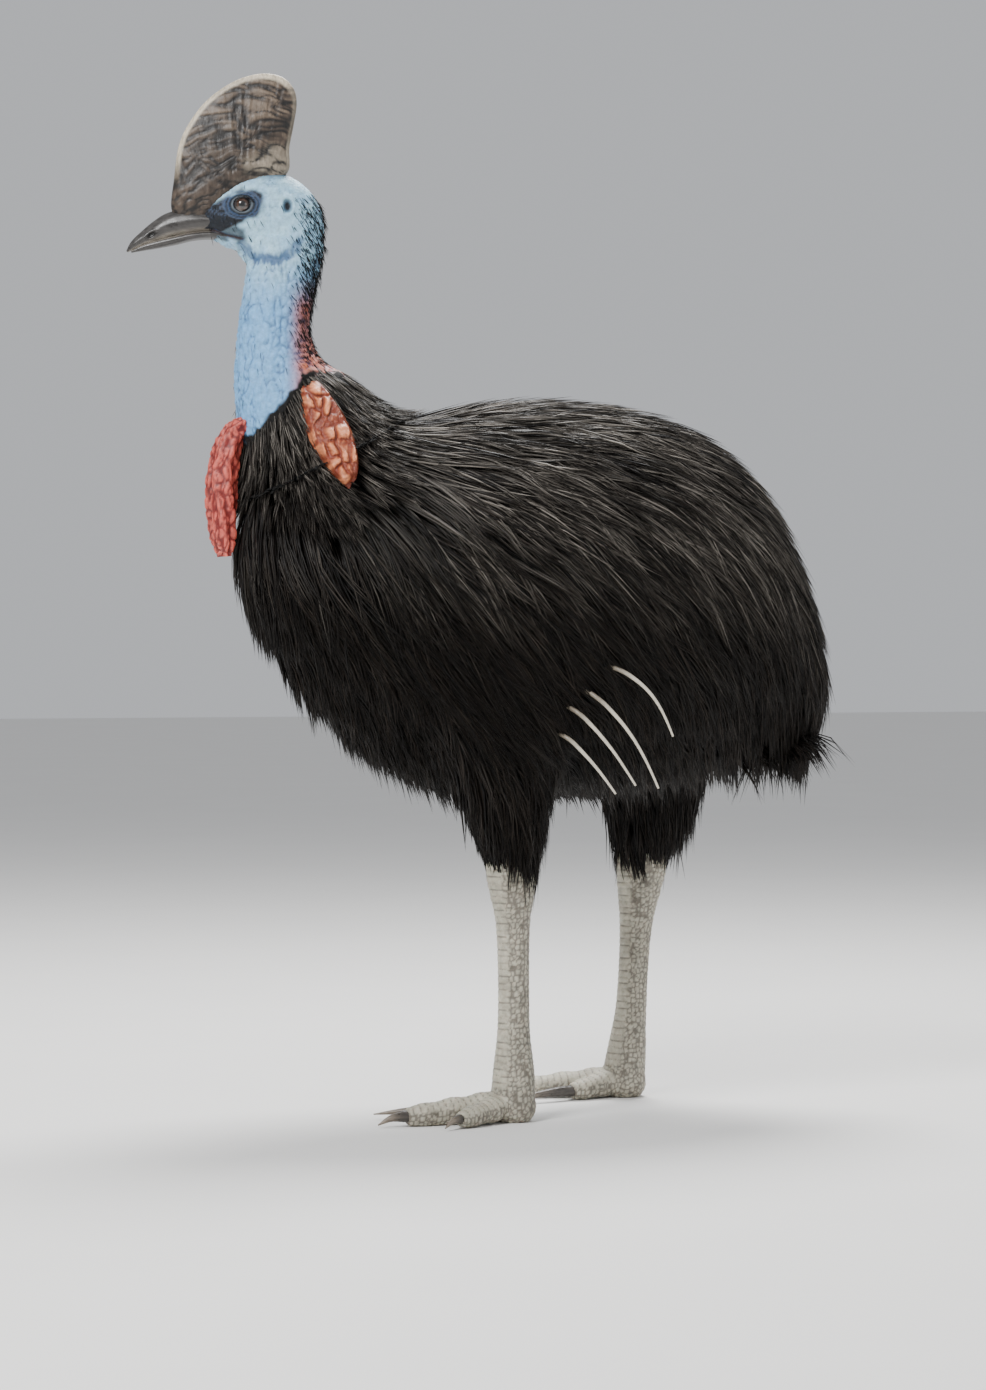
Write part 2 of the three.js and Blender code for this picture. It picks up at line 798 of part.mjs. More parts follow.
function patchPieces(side, grow) {
  const pieces = [];
  for (let row = 0; row < patch.rows; row++) {
    const share = row / (patch.rows - 1);
    const wide = 13 + 15 * Math.sin(Math.PI * (0.12 + 0.8 * share));
    for (const column of [-1, 1]) {
      const lean = column * wide * 0.6 + (row % 2 ? 3 : -3);
      const x = lerp(patch.top[0], patch.foot[0], share) + lean;
      const z = lerp(patch.top[1], patch.foot[1], share) + column * 6;
      const flank = flankAt(x, z);
      const sunk = coreDepth(vec(x, side * flank, z)) / 2 + 3;
      const centre = vec(x, side * (flank - sunk), z);
      const size = vec(wide * 0.82 + grow, patch.proud + sunk + grow, patch.high + grow);
      pieces.push(ball(centre, size, 6, 4));
    }
  }
  return pieces.map(solidOf);
}

// Bare quills curve down and back from each wing
const quills = [
  { from: [-54, 560], to: [34, 470], bow: 4 },
  { from: [-44, 598], to: [60, 482], bow: 6 },
  { from: [-22, 622], to: [92, 478], bow: 12 },
  { from: [10, 655], to: [112, 552], bow: 16 },
];

const wingLocks = [-1, 1].map((side) => {
  const spots = [[-80, 672], [-46, 668]];
  const roots = spots.map(([x, z]) => vec(x, side * flankAt(x, z), z));
  return locksOn(roots, lockKinds.wing, drawsFrom(23 + side));
});

function wingPieces(side, grow) {
  const stub = ball(
    stubCentre(side),
    vec(wingStub.length + grow, wingStub.deep + grow, wingStub.high + grow),
    9,
    6,
  );
  const pieces = [stub];
  for (const [i, quill] of quills.entries()) {
    const [fromX, fromZ] = quill.from;
    const [toX, toZ] = quill.to;
    const stations = [0, 0.34, 0.67, 1].map((share) => {
      const x = lerp(fromX, toX, share) + quill.bow * Math.sin(Math.PI * share);
      const z = lerp(fromZ, toZ, share) + quill.bow * Math.sin(Math.PI * share);
      const radius = 3.6 - 1.9 * share;
      return station(x, side * (flankAt(x, z) + 10), z, radius, radius);
    });
    const start = stations[0].at;
    const apart = i - (quills.length - 1) / 2;
    const inside = stubCentre(side).add(vec(14 * apart, 0, 13 * apart)).lerp(start, 0.3);
    stations.unshift({ at: inside, deep: 3.8, wide: 3.8 });
    pieces.push(tube(stations, 4, 7, lateral, grow));
  }
  return [...pieces.map(solidOf), ...lockSolids(wingLocks[side < 0 ? 0 : 1], grow)];
}

// Putting the bird together

const bird = new THREE.Group();
const headGroup = new THREE.Group();
headGroup.position.copy(headPivot);
headGroup.rotation.z = headTurn;
headGroup.updateMatrix();
bird.add(headGroup);

const inBird = (geometry) => solidOf(geometry.clone().applyMatrix4(headGroup.matrix));

// Head, eyes, casque and bill
const sockets = [-1, 1].map((side) =>
  solidOf(ball(eyePlace(side), vec(1, 1, 1).multiplyScalar(eyeRadius + gap), 12, 8)),
);
const lids = [-1, 1].map((side) => {
  const place = eyePlace(side);
  return solidOf(ball(vec(place.x, place.y + side * 1, place.z), vec(17, 11, 13), 12, 8));
});
const lidOpenings = [-1, 1].map((side) => {
  const place = eyePlace(side);
  return solidOf(ball(vec(place.x, place.y + side * 12, place.z), vec(11.5, 7, 8.5), 10, 6));
});
const earRims = [-1, 1].map((side) => {
  const place = earPlace(side);
  const ring = new THREE.TorusGeometry(8, 3, 4, 9);
  ring.scale(0.85, 1.15, 1);
  ring.rotateX(Math.PI / 2);
  ring.translate(place.x, place.y - side * 1.5, place.z);
  return solidOf(ring);
});
const earCups = [-1, 1].map((side) => solidOf(ball(earPlace(side), vec(5.5, 9, 8), 8, 6)));
const throat = solidOf(
  tube(
    [station(-60, 0, -4, 16, 18), station(-40, 0, -18, 30, 28), station(-10, 0, -30, 40, 36)],
    12,
    5,
    lateral,
  ),
);

const casqueSolid = solidOf(casqueForm(0));
const casqueFat = solidOf(casqueForm(gap));
const headFat = solidOf(headForm(gap));

let head = joined([solidOf(headForm(0)), throat, ...lids, ...earRims]);
for (const cut of [...lidOpenings, ...sockets, ...earCups]) head = head.subtract(cut);
head = head.subtract(casqueFat.intersect(halfSpace(vec(0, 0, 60), vec(0, 0, 1))));

const casque = casqueSolid.subtract(headFat);
const nostrils = [-1, 1].map((side) => solidOf(ball(nostrilPlace(side), vec(8, 4.5, 3), 8, 5)));
let upper = solidOf(billUpperForm(0)).subtract(headFat).subtract(casqueFat);
for (const cut of nostrils) upper = upper.subtract(cut);
const lower = solidOf(billLowerForm(0)).subtract(headFat).subtract(solidOf(billUpperForm(gap)));
const headKept = head.subtract(casqueFat.subtract(headFat));

headGroup.add(meshOf("head", headKept, colours.skin));
headGroup.add(meshOf("casque", casque, colours.casque));
headGroup.add(meshOf("bill_upper", upper, colours.bill, 0.4));
headGroup.add(meshOf("bill_lower", lower, colours.bill, 0.4));
for (const [name, side] of [["left", -1], ["right", 1]]) {
  const eye = ball(eyePlace(side), vec(1, 1, 1).multiplyScalar(eyeRadius), 12, 8);
  headGroup.add(meshOf("eye_" + name, solidOf(eye), colours.eye, 0.1));
}

// Torso, rump and the neck's feathered foot: each a core with its locks. A core keeps its
// own shape, and locks are cut clear of whatever they would cross.
const without = (solid, cuts) => cuts.reduce((kept, cut) => kept.subtract(cut), solid);
const locked = (locks, grow = 0) => joined(lockSolids(locks, grow));
const torsoCore = (grow) => solidOf(torsoForm(coreInset - grow));
const thighCore = (leg, grow) => solidOf(tube(insetBy(leg.drumstick), 12, 9, lateral, grow));

const rumpStart = rumpCut.point.clone().addScaledVector(rumpCut.normal, gap);
const torsoSpace = halfSpace(rumpCut.point, rumpCut.normal.clone().negate());
const rumpSpace = halfSpace(rumpStart, rumpCut.normal);
const belowEdge = halfSpace(skinEdge.point, skinEdge.normal.clone().negate());
const edgeAbove = skinEdge.point.clone().addScaledVector(skinEdge.normal, gap);
const aboveEdge = halfSpace(edgeAbove, skinEdge.normal);

const fat = {
  torso: torsoCore(gap),
  neck: solidOf(neckForm(neckCore, gap)),
  thighs: Object.values(legs).map((leg) => thighCore(leg, gap)),
  wings: [-1, 1].map((side) => joined(wingPieces(side, gap))),
  patches: [-1, 1].map((side) => joined(patchPieces(side, gap))),
  wattles: [-1, 1].map((side) => solidOf(wattleForm(side, gap))),
  neckLocks: locked(neckLocks, gap),
  torsoLocks: locked(torsoLocks, gap),
  rumpLocks: locked(rumpLocks, gap),
};

const neckHair = without(locked(neckLocks), [...fat.patches, ...fat.wattles]);
const neckBase = solidOf(neckForm(neckCore, 0)).add(neckHair).intersect(belowEdge);
bird.add(meshOf("neck_base", neckBase.subtract(fat.torso), colours.coat, 0.8));

const torsoHair = without(locked(torsoLocks), [
  fat.neck,
  fat.neckLocks,
  fat.torso.intersect(rumpSpace),
  ...fat.thighs,
  ...fat.wings,
  ...fat.patches,
  ...fat.wattles,
]);
const torso = torsoCore(0).intersect(torsoSpace).add(torsoHair);
bird.add(meshOf("torso", torso, colours.coat, 0.8));

const torsoEnd = fat.torso.intersect(halfSpace(rumpStart, rumpCut.normal.clone().negate()));
const rumpHair = without(locked(rumpLocks), [torsoEnd, fat.torsoLocks, ...fat.thighs]);
const rump = torsoCore(0).intersect(rumpSpace).add(rumpHair);
bird.add(meshOf("rump", rump, colours.coat, 0.8));

const throatFat = tube(
  [station(-60, 0, -4, 16.4, 18.4), station(-40, 0, -18, 30.4, 28.4), station(-10, 0, -30, 40.4, 36.4)],
  12,
  5,
  lateral,
);
const neckBare = solidOf(neckForm(neckStations, 0)).intersect(aboveEdge);
const bareNeck = without(neckBare, [inBird(headForm(gap)), inBird(throatFat)]);
bird.add(meshOf("neck", bareNeck, colours.skin));
const neckFat = solidOf(neckForm(neckStations, gap)).intersect(aboveEdge);

for (const [name, side] of [["left", -1], ["right", 1]]) {
  const carriers = [neckFat, fat.neck, fat.torso];
  const wattle = without(solidOf(wattleForm(side, 0)), carriers);
  bird.add(meshOf("wattle_" + name, wattle, colours.wattle));
  const knobs = without(joined(patchPieces(side, 0)), carriers);
  bird.add(meshOf("neck_patch_" + name, knobs, colours.patch));
  const wing = without(joined(wingPieces(side, 0)), [fat.torso, ...fat.thighs]);
  bird.add(meshOf("wing_" + name, wing, colours.quill, 0.3));
}

// Legs and feet
for (const [i, [name, leg]] of Object.entries(legs).entries()) {
  const shankFat = solidOf(tube(leg.shank, 12, 11, lateral, gap));
  const thighHair = without(locked(thighLocks[i]), [
    shankFat,
    fat.torsoLocks,
    fat.rumpLocks,
    ...fat.wings,
  ]);
  const drumstick = thighCore(leg, 0).add(thighHair).subtract(fat.torso);
  const above = halfSpace(vec(0, 0, 0), vec(0, 0, 1));
  bird.add(meshOf("thigh_" + name, drumstick, colours.coat, 0.8));
  const ankle = leg.shank[leg.shank.length - 2].at.z;
  const shank = solidOf(tube(leg.shank, 12, 11, lateral))
    .subtract(fat.thighs[i])
    .intersect(halfSpace(vec(0, 0, ankle), vec(0, 0, 1)));
  bird.add(meshOf("shank_" + name, shank, colours.leg));

  const footGroup = new THREE.Group();
  footGroup.position.copy(leg.foot);
  footGroup.rotation.z = leg.turn;
  const metatarsal = solidOf(ball(vec(4, 0, 22), vec(33, 34, 30), 12, 7));
  const padded = joined([
    metatarsal,
    ...Object.values(toes).map((toe) => solidOf(toeForm(toe, leg.side, 0))),
  ]);
  const clawsFat = Object.values(toes).map((toe) => solidOf(clawForm(toe, leg.side, gap)));
  let foot = padded.intersect(above).intersect(halfSpace(vec(0, 0, ankle - gap), vec(0, 0, -1)));
  for (const cut of clawsFat) foot = foot.subtract(cut);
  footGroup.add(meshOf("foot_" + name, foot, colours.leg));
  for (const [toeName, toe] of Object.entries(toes)) {
    const claw = solidOf(clawForm(toe, leg.side, 0)).intersect(above);
    footGroup.add(meshOf(`claw_${toeName}_${name}`, claw, colours.claw, 0.35));
  }
  bird.add(footGroup);
}

// The origin goes under the middle of the bird
bird.updateMatrixWorld(true);
const middle = new THREE.Box3().setFromObject(bird, true).getCenter(vec(0, 0, 0));
const tenth = (value) => Math.round(value * 10) / 10;
bird.position.set(tenth(-middle.x), tenth(-middle.y), 0);

export default bird;
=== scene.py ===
import math

import bpy
import numpy as np
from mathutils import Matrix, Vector


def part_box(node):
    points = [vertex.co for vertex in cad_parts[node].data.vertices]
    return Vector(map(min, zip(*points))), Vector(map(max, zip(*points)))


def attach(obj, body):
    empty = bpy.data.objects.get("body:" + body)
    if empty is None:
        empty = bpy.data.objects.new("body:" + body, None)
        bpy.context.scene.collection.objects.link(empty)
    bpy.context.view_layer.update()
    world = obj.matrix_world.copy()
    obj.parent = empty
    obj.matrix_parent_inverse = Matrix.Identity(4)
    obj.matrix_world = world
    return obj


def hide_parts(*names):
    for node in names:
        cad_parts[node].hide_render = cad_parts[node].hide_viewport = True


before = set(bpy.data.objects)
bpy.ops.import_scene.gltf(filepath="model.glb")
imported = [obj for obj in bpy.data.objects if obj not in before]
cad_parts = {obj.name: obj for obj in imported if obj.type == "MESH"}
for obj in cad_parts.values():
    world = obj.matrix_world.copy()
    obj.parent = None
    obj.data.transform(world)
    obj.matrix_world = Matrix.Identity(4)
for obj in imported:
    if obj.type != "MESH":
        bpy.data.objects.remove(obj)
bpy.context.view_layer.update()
print("frame loaded")

# Shapes are worked out in millimetres in the bird's own frame, whose X runs from the bill to
# the rump, and moved to the row's frame when a mesh is made.
headPlace = {"pivot": (-409, 0, 1275), "turn": -10}
eyeCentre = (-61.7, 26, 33.4)


def turnAboutZ(degrees):
    angle = math.radians(degrees)
    return np.array([[math.cos(angle), math.sin(angle), 0],
                     [-math.sin(angle), math.cos(angle), 0],
                     [0, 0, 1]])


headAxes = turnAboutZ(headPlace["turn"])


def toBird(points):
    return np.asarray(points, float) @ headAxes + np.array(headPlace["pivot"])


def toHead(points):
    return (np.asarray(points, float) - np.array(headPlace["pivot"])) @ headAxes.T


eyeLow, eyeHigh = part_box("eye_left")
leftEye = toBird([[eyeCentre[0], -eyeCentre[1], eyeCentre[2]]])[0]
rowShift = (np.array(eyeLow) + np.array(eyeHigh)) * 500 - leftEye


def toRow(points):
    return (np.asarray(points, float) + rowShift) / 1000


# Numbers and noise


def smoothstep(value, low, high):
    share = np.clip((value - low) / (high - low), 0, 1)
    return share * share * (3 - 2 * share)


def lerp(first, second, share):
    return first + (second - first) * share


def unit(vectors):
    return vectors / np.maximum(np.linalg.norm(vectors, axis=-1, keepdims=True), 1e-9)


def bell(value, middle, wide):
    return np.exp(-((value - middle) / wide) ** 2)


def blendColours(first, second, share):
    return lerp(np.asarray(first, float), np.asarray(second, float), np.asarray(share)[:, None])


def layered(colour, layers):
    for added, share in layers:
        colour = blendColours(colour, added, share)
    return colour


def noiseAt(points, size, seed):
    cells = 24
    table = np.random.default_rng(seed).uniform(-1, 1, (cells, cells, cells))
    place = points / np.array(size, float)
    corner = np.floor(place).astype(int)
    part = place - corner
    part = part * part * (3 - 2 * part)
    total = np.zeros(len(points))
    for index in np.ndindex(2, 2, 2):
        step = np.array(index)
        weight = np.prod(np.where(step == 1, part, 1 - part), axis=1)
        x, y, z = ((corner + step) % cells).T
        total += weight * table[x, y, z]
    return total


# Height of a field of knobs, 1 at a knob's middle and 0 in the creases between them
def knobsAt(points, size, seed):
    cells = 24
    jitter = np.random.default_rng(seed).uniform(0.15, 0.85, (cells, cells, cells, 3))
    place = points / np.array(size, float)
    corner = np.floor(place).astype(int)
    nearest = np.full(len(points), 9.0)
    second = np.full(len(points), 9.0)
    for index in np.ndindex(3, 3, 3):
        cell = corner + np.array(index) - 1
        x, y, z = (cell % cells).T
        away = np.linalg.norm(cell + jitter[x, y, z] - place, axis=1)
        second = np.minimum(second, np.maximum(nearest, away))
        nearest = np.minimum(nearest, away)
    return smoothstep(second - nearest, 0, 0.45)


# Forms: each gives its points and its groups of faces


def splineThrough(rows, count, closed=False):
    rows = np.array(rows, float)
    spans = len(rows) if closed else len(rows) - 1
    if closed:
        padded = np.vstack([rows[-1:], rows, rows[:2]])
    else:
        padded = np.vstack([2 * rows[:1] - rows[1:2], rows, 2 * rows[-1:] - rows[-2:-1]])
    place = np.linspace(0, spans, count, endpoint=not closed)
    span = np.minimum(place.astype(int), spans - 1)
    part = (place - span)[:, None]
    a, b, c, d = (padded[span + i] for i in range(4))
    return 0.5 * (2 * b + (c - a) * part + (2 * a - 5 * b + 4 * c - d) * part**2
                  + (3 * b - a - 3 * c + d) * part**3)


def tubeFrames(stations, steps, side=(0, 1, 0)):
    rows = splineThrough(stations, steps + 1)
    at = rows[:, :3]
    along = unit(np.gradient(at, axis=0))
    side = np.array(side, float)
    across = unit(side - along * (along @ side)[:, None])
    return {"at": at, "along": along, "across": across, "depth": np.cross(across, along),
            "deep": rows[:, 3], "wide": rows[:, 4]}


# Quads round a stack of rings, with a fan to a middle point at each end
def ringFaces(rings, sides):
    first = np.arange(rings - 1)[:, None] * sides + np.arange(sides)[None, :]
    second = np.arange(rings - 1)[:, None] * sides + (np.arange(sides)[None, :] + 1) % sides
    quads = np.stack([first, second, second + sides, first + sides], -1).reshape(-1, 4)
    turn = np.arange(sides)
    after = (turn + 1) % sides
    base = (rings - 1) * sides
    startFan = np.stack([after, turn, np.full(sides, rings * sides)], -1)
    endFan = np.stack([turn + base, after + base, np.full(sides, rings * sides + 1)], -1)
    return [quads, np.vstack([startFan, endFan])]


def tubeForm(stations, sides, steps, side=(0, 1, 0), swell=None):
    line = tubeFrames(stations, steps, side)
    angle = np.arange(sides) * 2 * np.pi / sides
    share = np.linspace(0, 1, steps + 1)
    scale = 1 if swell is None else swell(share[:, None], angle[None, :])
    wide = np.cos(angle)[None, :] * line["wide"][:, None] * scale
    deep = np.sin(angle)[None, :] * line["deep"][:, None] * scale
    rings = (line["at"][:, None] + line["across"][:, None] * wide[..., None]
             + line["depth"][:, None] * deep[..., None])
    points = np.vstack([rings.reshape(-1, 3), line["at"][:1], line["at"][-1:]])
    return points, ringFaces(steps + 1, sides)


# A sphere with its poles on X, whose directions are placed by a function
def roundForm(columns, rings, place):
    tilt = np.linspace(0, np.pi, rings + 2)[1:-1]
    turn = np.arange(columns) * 2 * np.pi / columns
    directions = np.stack(np.broadcast_arrays(
        np.cos(tilt)[:, None],
        np.sin(tilt)[:, None] * np.cos(turn)[None, :],
        np.sin(tilt)[:, None] * np.sin(turn)[None, :]), -1).reshape(-1, 3)
    directions = np.vstack([directions, [[1, 0, 0], [-1, 0, 0]]])
    return place(directions), ringFaces(rings, columns)


def ballForm(centre, radii, columns=24, rings=14):
    return roundForm(columns, rings, lambda d: d * np.array(radii, float) + np.array(centre, float))


def facedOut(points, groups):
    volume = 0
    for faces in groups:
        for i in range(1, faces.shape[1] - 1):
            a, b, c = points[faces[:, 0]], points[faces[:, i]], points[faces[:, i + 1]]
            volume += np.sum(a * np.cross(b, c))
    return groups if volume > 0 else [faces[:, ::-1] for faces in groups]


def joinedForms(forms):
    points, groups, start = [], [], 0
    for formPoints, formGroups in forms:
        points.append(formPoints)
        groups += [faces + start for faces in formGroups]
        start += len(formPoints)
    return np.vstack(points), groups


def addMesh(name, form, material=None, smooth=True):
    points, groups = form
    loops = np.concatenate([faces.ravel() for faces in groups]).astype(np.int32)
    sizes = np.concatenate([np.full(len(faces), faces.shape[1]) for faces in groups])
    starts = np.concatenate([[0], np.cumsum(sizes)[:-1]]).astype(np.int32)
    mesh = bpy.data.meshes.new(name)
    mesh.vertices.add(len(points))
    mesh.loops.add(len(loops))
    mesh.polygons.add(len(sizes))
    mesh.vertices.foreach_set("co", toRow(points).astype(np.float32).ravel())
    mesh.loops.foreach_set("vertex_index", loops)
    mesh.polygons.foreach_set("loop_start", starts)
    mesh.polygons.foreach_set("use_smooth", np.full(len(sizes), smooth))
    mesh.update(calc_edges=True)
    if material:
        mesh.materials.append(material)
    piece = bpy.data.objects.new(name, mesh)
    bpy.context.scene.collection.objects.link(piece)
    return piece


def paintPoints(piece, colours):
    attribute = piece.data.color_attributes.new("tone", "FLOAT_COLOR", "POINT")
    filled = np.ones((len(colours), 4), np.float32)
    filled[:, :3] = colours
    attribute.data.foreach_set("color", filled.ravel())


def paintedPiece(name, points, groups, material, colours):
    piece = addMesh(name, (points, facedOut(points, groups)), material)
    paintPoints(piece, colours)
    return piece


# Crossing forms become one closed surface of even quads
def remeshed(forms, voxel):
    form = joinedForms([(points, facedOut(points, groups)) for points, groups in forms])
    piece = addMesh("rough", form)
    modifier = piece.modifiers.new("even", "REMESH")
    modifier.mode = "VOXEL"
    modifier.voxel_size = voxel / 1000
    evaluated = piece.evaluated_get(bpy.context.evaluated_depsgraph_get())
    mesh = bpy.data.meshes.new_from_object(evaluated)
    points = np.zeros(len(mesh.vertices) * 3, np.float32)
    mesh.vertices.foreach_get("co", points)
    loops = np.zeros(len(mesh.loops), np.int32)
    mesh.loops.foreach_get("vertex_index", loops)
    rough = piece.data
    bpy.data.objects.remove(piece)
    bpy.data.meshes.remove(rough)
    bpy.data.meshes.remove(mesh)
    return points.reshape(-1, 3).astype(float) * 1000 - rowShift, loops.reshape(-1, 4)


def addedUp(indices, values, count):
    return np.stack([np.bincount(indices, values[:, i], count) for i in range(3)], -1)


def smoothed(points, quads, times):
    edges = np.vstack([quads[:, [i, (i + 1) % 4]] for i in range(4)])
    start, end = np.vstack([edges, edges[:, ::-1]]).T
    degree = np.bincount(start, minlength=len(points))[:, None]
    for _ in range(times):
        points = lerp(points, addedUp(start, points[end], len(points)) / degree, 0.5)
    return points


def normalsOf(points, quads):
    a, b, c, d = (points[quads[:, i]] for i in range(4))
    facing = np.cross(c - a, d - b)
    total = sum(addedUp(quads[:, i], facing, len(points)) for i in range(4))
    return unit(total)


# Materials


class Socket:
    def __init__(self, paint, link):
        self.paint, self.link = paint, link

    def maths(self, operation, first, second):
        return self.paint.node("Math", {"operation": operation}, {0: first, 1: second})

    def __add__(self, other):
        return self.maths("ADD", self, other)

    def __radd__(self, other):
        return self.maths("ADD", other, self)

    def __sub__(self, other):
        return self.maths("SUBTRACT", self, other)

    def __rsub__(self, other):
        return self.maths("SUBTRACT", other, self)

    def __mul__(self, other):
        return self.maths("MULTIPLY", self, other)

    def __rmul__(self, other):
        return self.maths("MULTIPLY", other, self)


class Paint:
    def __init__(self, name, fixed):
        self.material = bpy.data.materials.new(name)
        self.material.use_nodes = True
        self.tree = self.material.node_tree
        self.shader = self.tree.nodes["Principled BSDF"]
        for socket, value in fixed.items():
            self.shader.inputs[socket].default_value = value

    def node(self, kind, settings=None, sockets=None, output=0):
        made = self.tree.nodes.new("ShaderNode" + kind)
        for name, value in (settings or {}).items():
            setattr(made, name, value)
        for name, value in (sockets or {}).items():
            if isinstance(value, Socket):
                self.tree.links.new(value.link, made.inputs[name])
            else:
                made.inputs[name].default_value = value
        return Socket(self, made.outputs[output])

    def place(self):
        return self.node("TexCoord", output="Object")

    def noise(self, scale, detail=4, roughness=0.6, vector=None):
        return self.node("TexNoise", {}, {"Vector": vector or self.place(), "Scale": scale,
                                          "Detail": detail, "Roughness": roughness})

    def cells(self, scale):
        return self.node("TexVoronoi", {"feature": "DISTANCE_TO_EDGE"},
                         {"Vector": self.place(), "Scale": scale})

    def stretched(self, factors):
        return self.node("VectorMath", {"operation": "MULTIPLY"}, {0: self.place(), 1: factors})

    def multiplied(self, first, second):
        return self.node("Mix", {"data_type": "RGBA", "blend_type": "MULTIPLY"},
                         {0: 1, 6: first, 7: second}, 2)

    def attribute(self, name, output="Color"):
        return self.node("Attribute", {"attribute_name": name}, {}, output)

    def spread(self, value, toLow, toHigh, low=0.3, high=0.7):
        return self.node("MapRange", {}, {"Value": value, "From Min": low, "From Max": high,
                                          "To Min": toLow, "To Max": toHigh})

    def feed(self, name, value):
        self.tree.links.new(value.link, self.shader.inputs[name])

    # The points' own colour, made darker and lighter by a pattern
    def toned(self, pattern, low, high):
        shade = self.spread(pattern, low, high)
        self.feed("Base Color", self.multiplied(self.attribute("tone"), shade))

    def roughened(self, pattern, low, high):
        self.feed("Roughness", self.spread(pattern, low, high))

    def bump(self, height, strength, distance):
        self.feed("Normal", self.node("Bump", {}, {"Strength": strength, "Distance": distance,
                                                   "Height": height}))


def rgba(colour):
    return (*colour, 1)


# Horn with streaks along one axis, from the values of a piece's "look"
def hornMaterial(name, look):
    paint = Paint(name, {"Specular IOR Level": look["gloss"]})
    streaks = paint.noise(*look["grain"], paint.stretched(look["stretch"]))
    paint.toned(streaks, *look["shades"])
    paint.roughened(streaks, *look["roughness"])
    paint.bump(streaks, *look["bump"])
    return paint.material


bothSides = {"left": -1, "right": 1}


# Body fields: how far a point is outside the coat's outline, in millimetres near it

torso = {"length": 448, "height": 292, "width": 222, "x": -39, "z": 742, "chestRise": 84,
         "rumpDrop": 144, "topTaper": 0.12}
neckStations = [(-300, 0, 830, 160, 158), (-345, 0, 925, 134, 130), (-383, 0, 1000, 101, 94),
                (-408, 0, 1045, 76, 68), (-420, 0, 1082, 60, 54), (-425, 0, 1130, 50, 45),
                (-418, 0, 1185, 48, 42), (-408, 0, 1236, 50, 42), (-402, 0, 1262, 48, 40),
                (-402, 0, 1286, 38, 34)]
legs = {
    "left": {
        "side": -1, "foot": (-106, -118, 0), "turn": 7,
        "drumstick": [(-140, -112, 640, 100, 78), (-128, -120, 520, 86, 76),
                      (-120, -121, 478, 78, 70), (-111, -120, 422, 62, 56),
                      (-106, -118, 379, 46, 42), (-104, -118, 352, 38, 34)],
        "shank": [(-106, -118, 400, 34, 28), (-104, -118, 352, 36, 29), (-103, -118, 322, 31, 26),
                  (-102, -118, 280, 24, 22), (-101, -118, 200, 22, 20), (-101, -118, 130, 23, 22),
                  (-101, -118, 74, 29, 28), (-102, -118, 34, 31, 33), (-104, -118, 8, 29, 32)],
    },
    "right": {
        "side": 1, "foot": (134, 128, 0), "turn": -7,
        "drumstick": [(150, 112, 640, 104, 80), (172, 121, 520, 92, 80), (176, 124, 474, 86, 76),
                      (174, 125, 415, 68, 62), (168, 126, 372, 50, 46), (165, 126, 348, 42, 36)],
        "shank": [(168, 126, 396, 36, 29), (165, 126, 348, 38, 30), (161, 126, 312, 33, 27),
                  (157, 127, 265, 25, 22), (153, 127, 200, 22, 20), (149, 128, 130, 23, 22),
                  (143, 128, 74, 28, 28), (138, 128, 34, 31, 33), (135, 128, 8, 29, 32)],
    },
}


def torsoAt(along):
    front, rear = np.maximum(0, -along), np.maximum(0, along)
    return (torso["z"] + torso["chestRise"] * front**2.5 - torso["rumpDrop"] * rear**6,
            torso["height"] * (1 + 0.09 * rear**2),
            torso["width"] * (1 - 0.08 * front**2 - 0.14 * rear**2))


def torsoShare(x):
    return np.clip((x - torso["x"]) / torso["length"], -1, 1)


def torsoPoints(directions):
    x, y, z = directions.T
    middle, high, wide = torsoAt(x)
    return np.stack([torso["x"] + torso["length"] * x,
                     wide * (1 - torso["topTaper"] * z) * y,
                     middle + high * z], -1)


def torsoField(points):
    along = (points[:, 0] - torso["x"]) / torso["length"]
    middle, high, wide = torsoAt(np.clip(along, -1, 1))
    up = (points[:, 2] - middle) / high
    out = points[:, 1] / (wide * (1 - torso["topTaper"] * np.clip(up, -1, 1)))
    return (np.sqrt(along**2 + up**2 + out**2) - 1) * torso["width"]


def tubeField(points, line):
    nearest = np.full(len(points), np.inf)
    field = np.full(len(points), np.inf)
    for i in range(len(line["at"]) - 1):
        start, end = line["at"][i], line["at"][i + 1]
        step = end - start
        part = np.clip((points - start) @ step / (step @ step), 0, 1)
        offset = points - start - part[:, None] * step
        away = np.linalg.norm(offset, axis=1)
        deep = lerp(line["deep"][i], line["deep"][i + 1], part)
        wide = lerp(line["wide"][i], line["wide"][i + 1], part)
        out = np.sqrt((offset @ line["depth"][i] / deep) ** 2
                      + (offset @ line["across"][i] / wide) ** 2
                      + (offset @ line["along"][i] / deep) ** 2)
        value = (out - 1) * np.minimum(deep, wide)
        field = np.where(away < nearest, value, field)
        nearest = np.minimum(nearest, away)
    return field


neckLine = tubeFrames(neckStations, 18)
thighLines = [tubeFrames(leg["drumstick"], 8) for leg in legs.values()]


def blended(first, second, crease=40):
    near = np.maximum(0, crease - np.abs(first - second)) / crease
    return np.minimum(first, second) - near**2 * crease / 4


def bodyField(points):
    field = blended(torsoField(points), tubeField(points, neckLine))
    for line in thighLines:
        field = blended(field, tubeField(points, line))
    return field


def slopeAt(points, reach=1.5):
    value = bodyField(points)
    steps = np.eye(3) * reach
    slope = np.stack([bodyField(points + step) - value for step in steps], -1) / reach
    return value, slope


def flankAt(x, z):
    low, high = np.zeros(len(x)), np.full(len(x), 300.0)
    for _ in range(14):
        middle = (low + high) / 2
        inside = bodyField(np.stack([x, -middle, z], -1)) < 0
        low, high = np.where(inside, middle, low), np.where(inside, high, middle)
    return low


# The lie and depth of the coat

featherEdge = {"apex": (-398, 1074), "frontSlope": 1.14, "nape": 1086}
patchLine = {"top": (-386, 1052), "foot": (-346, 918)}


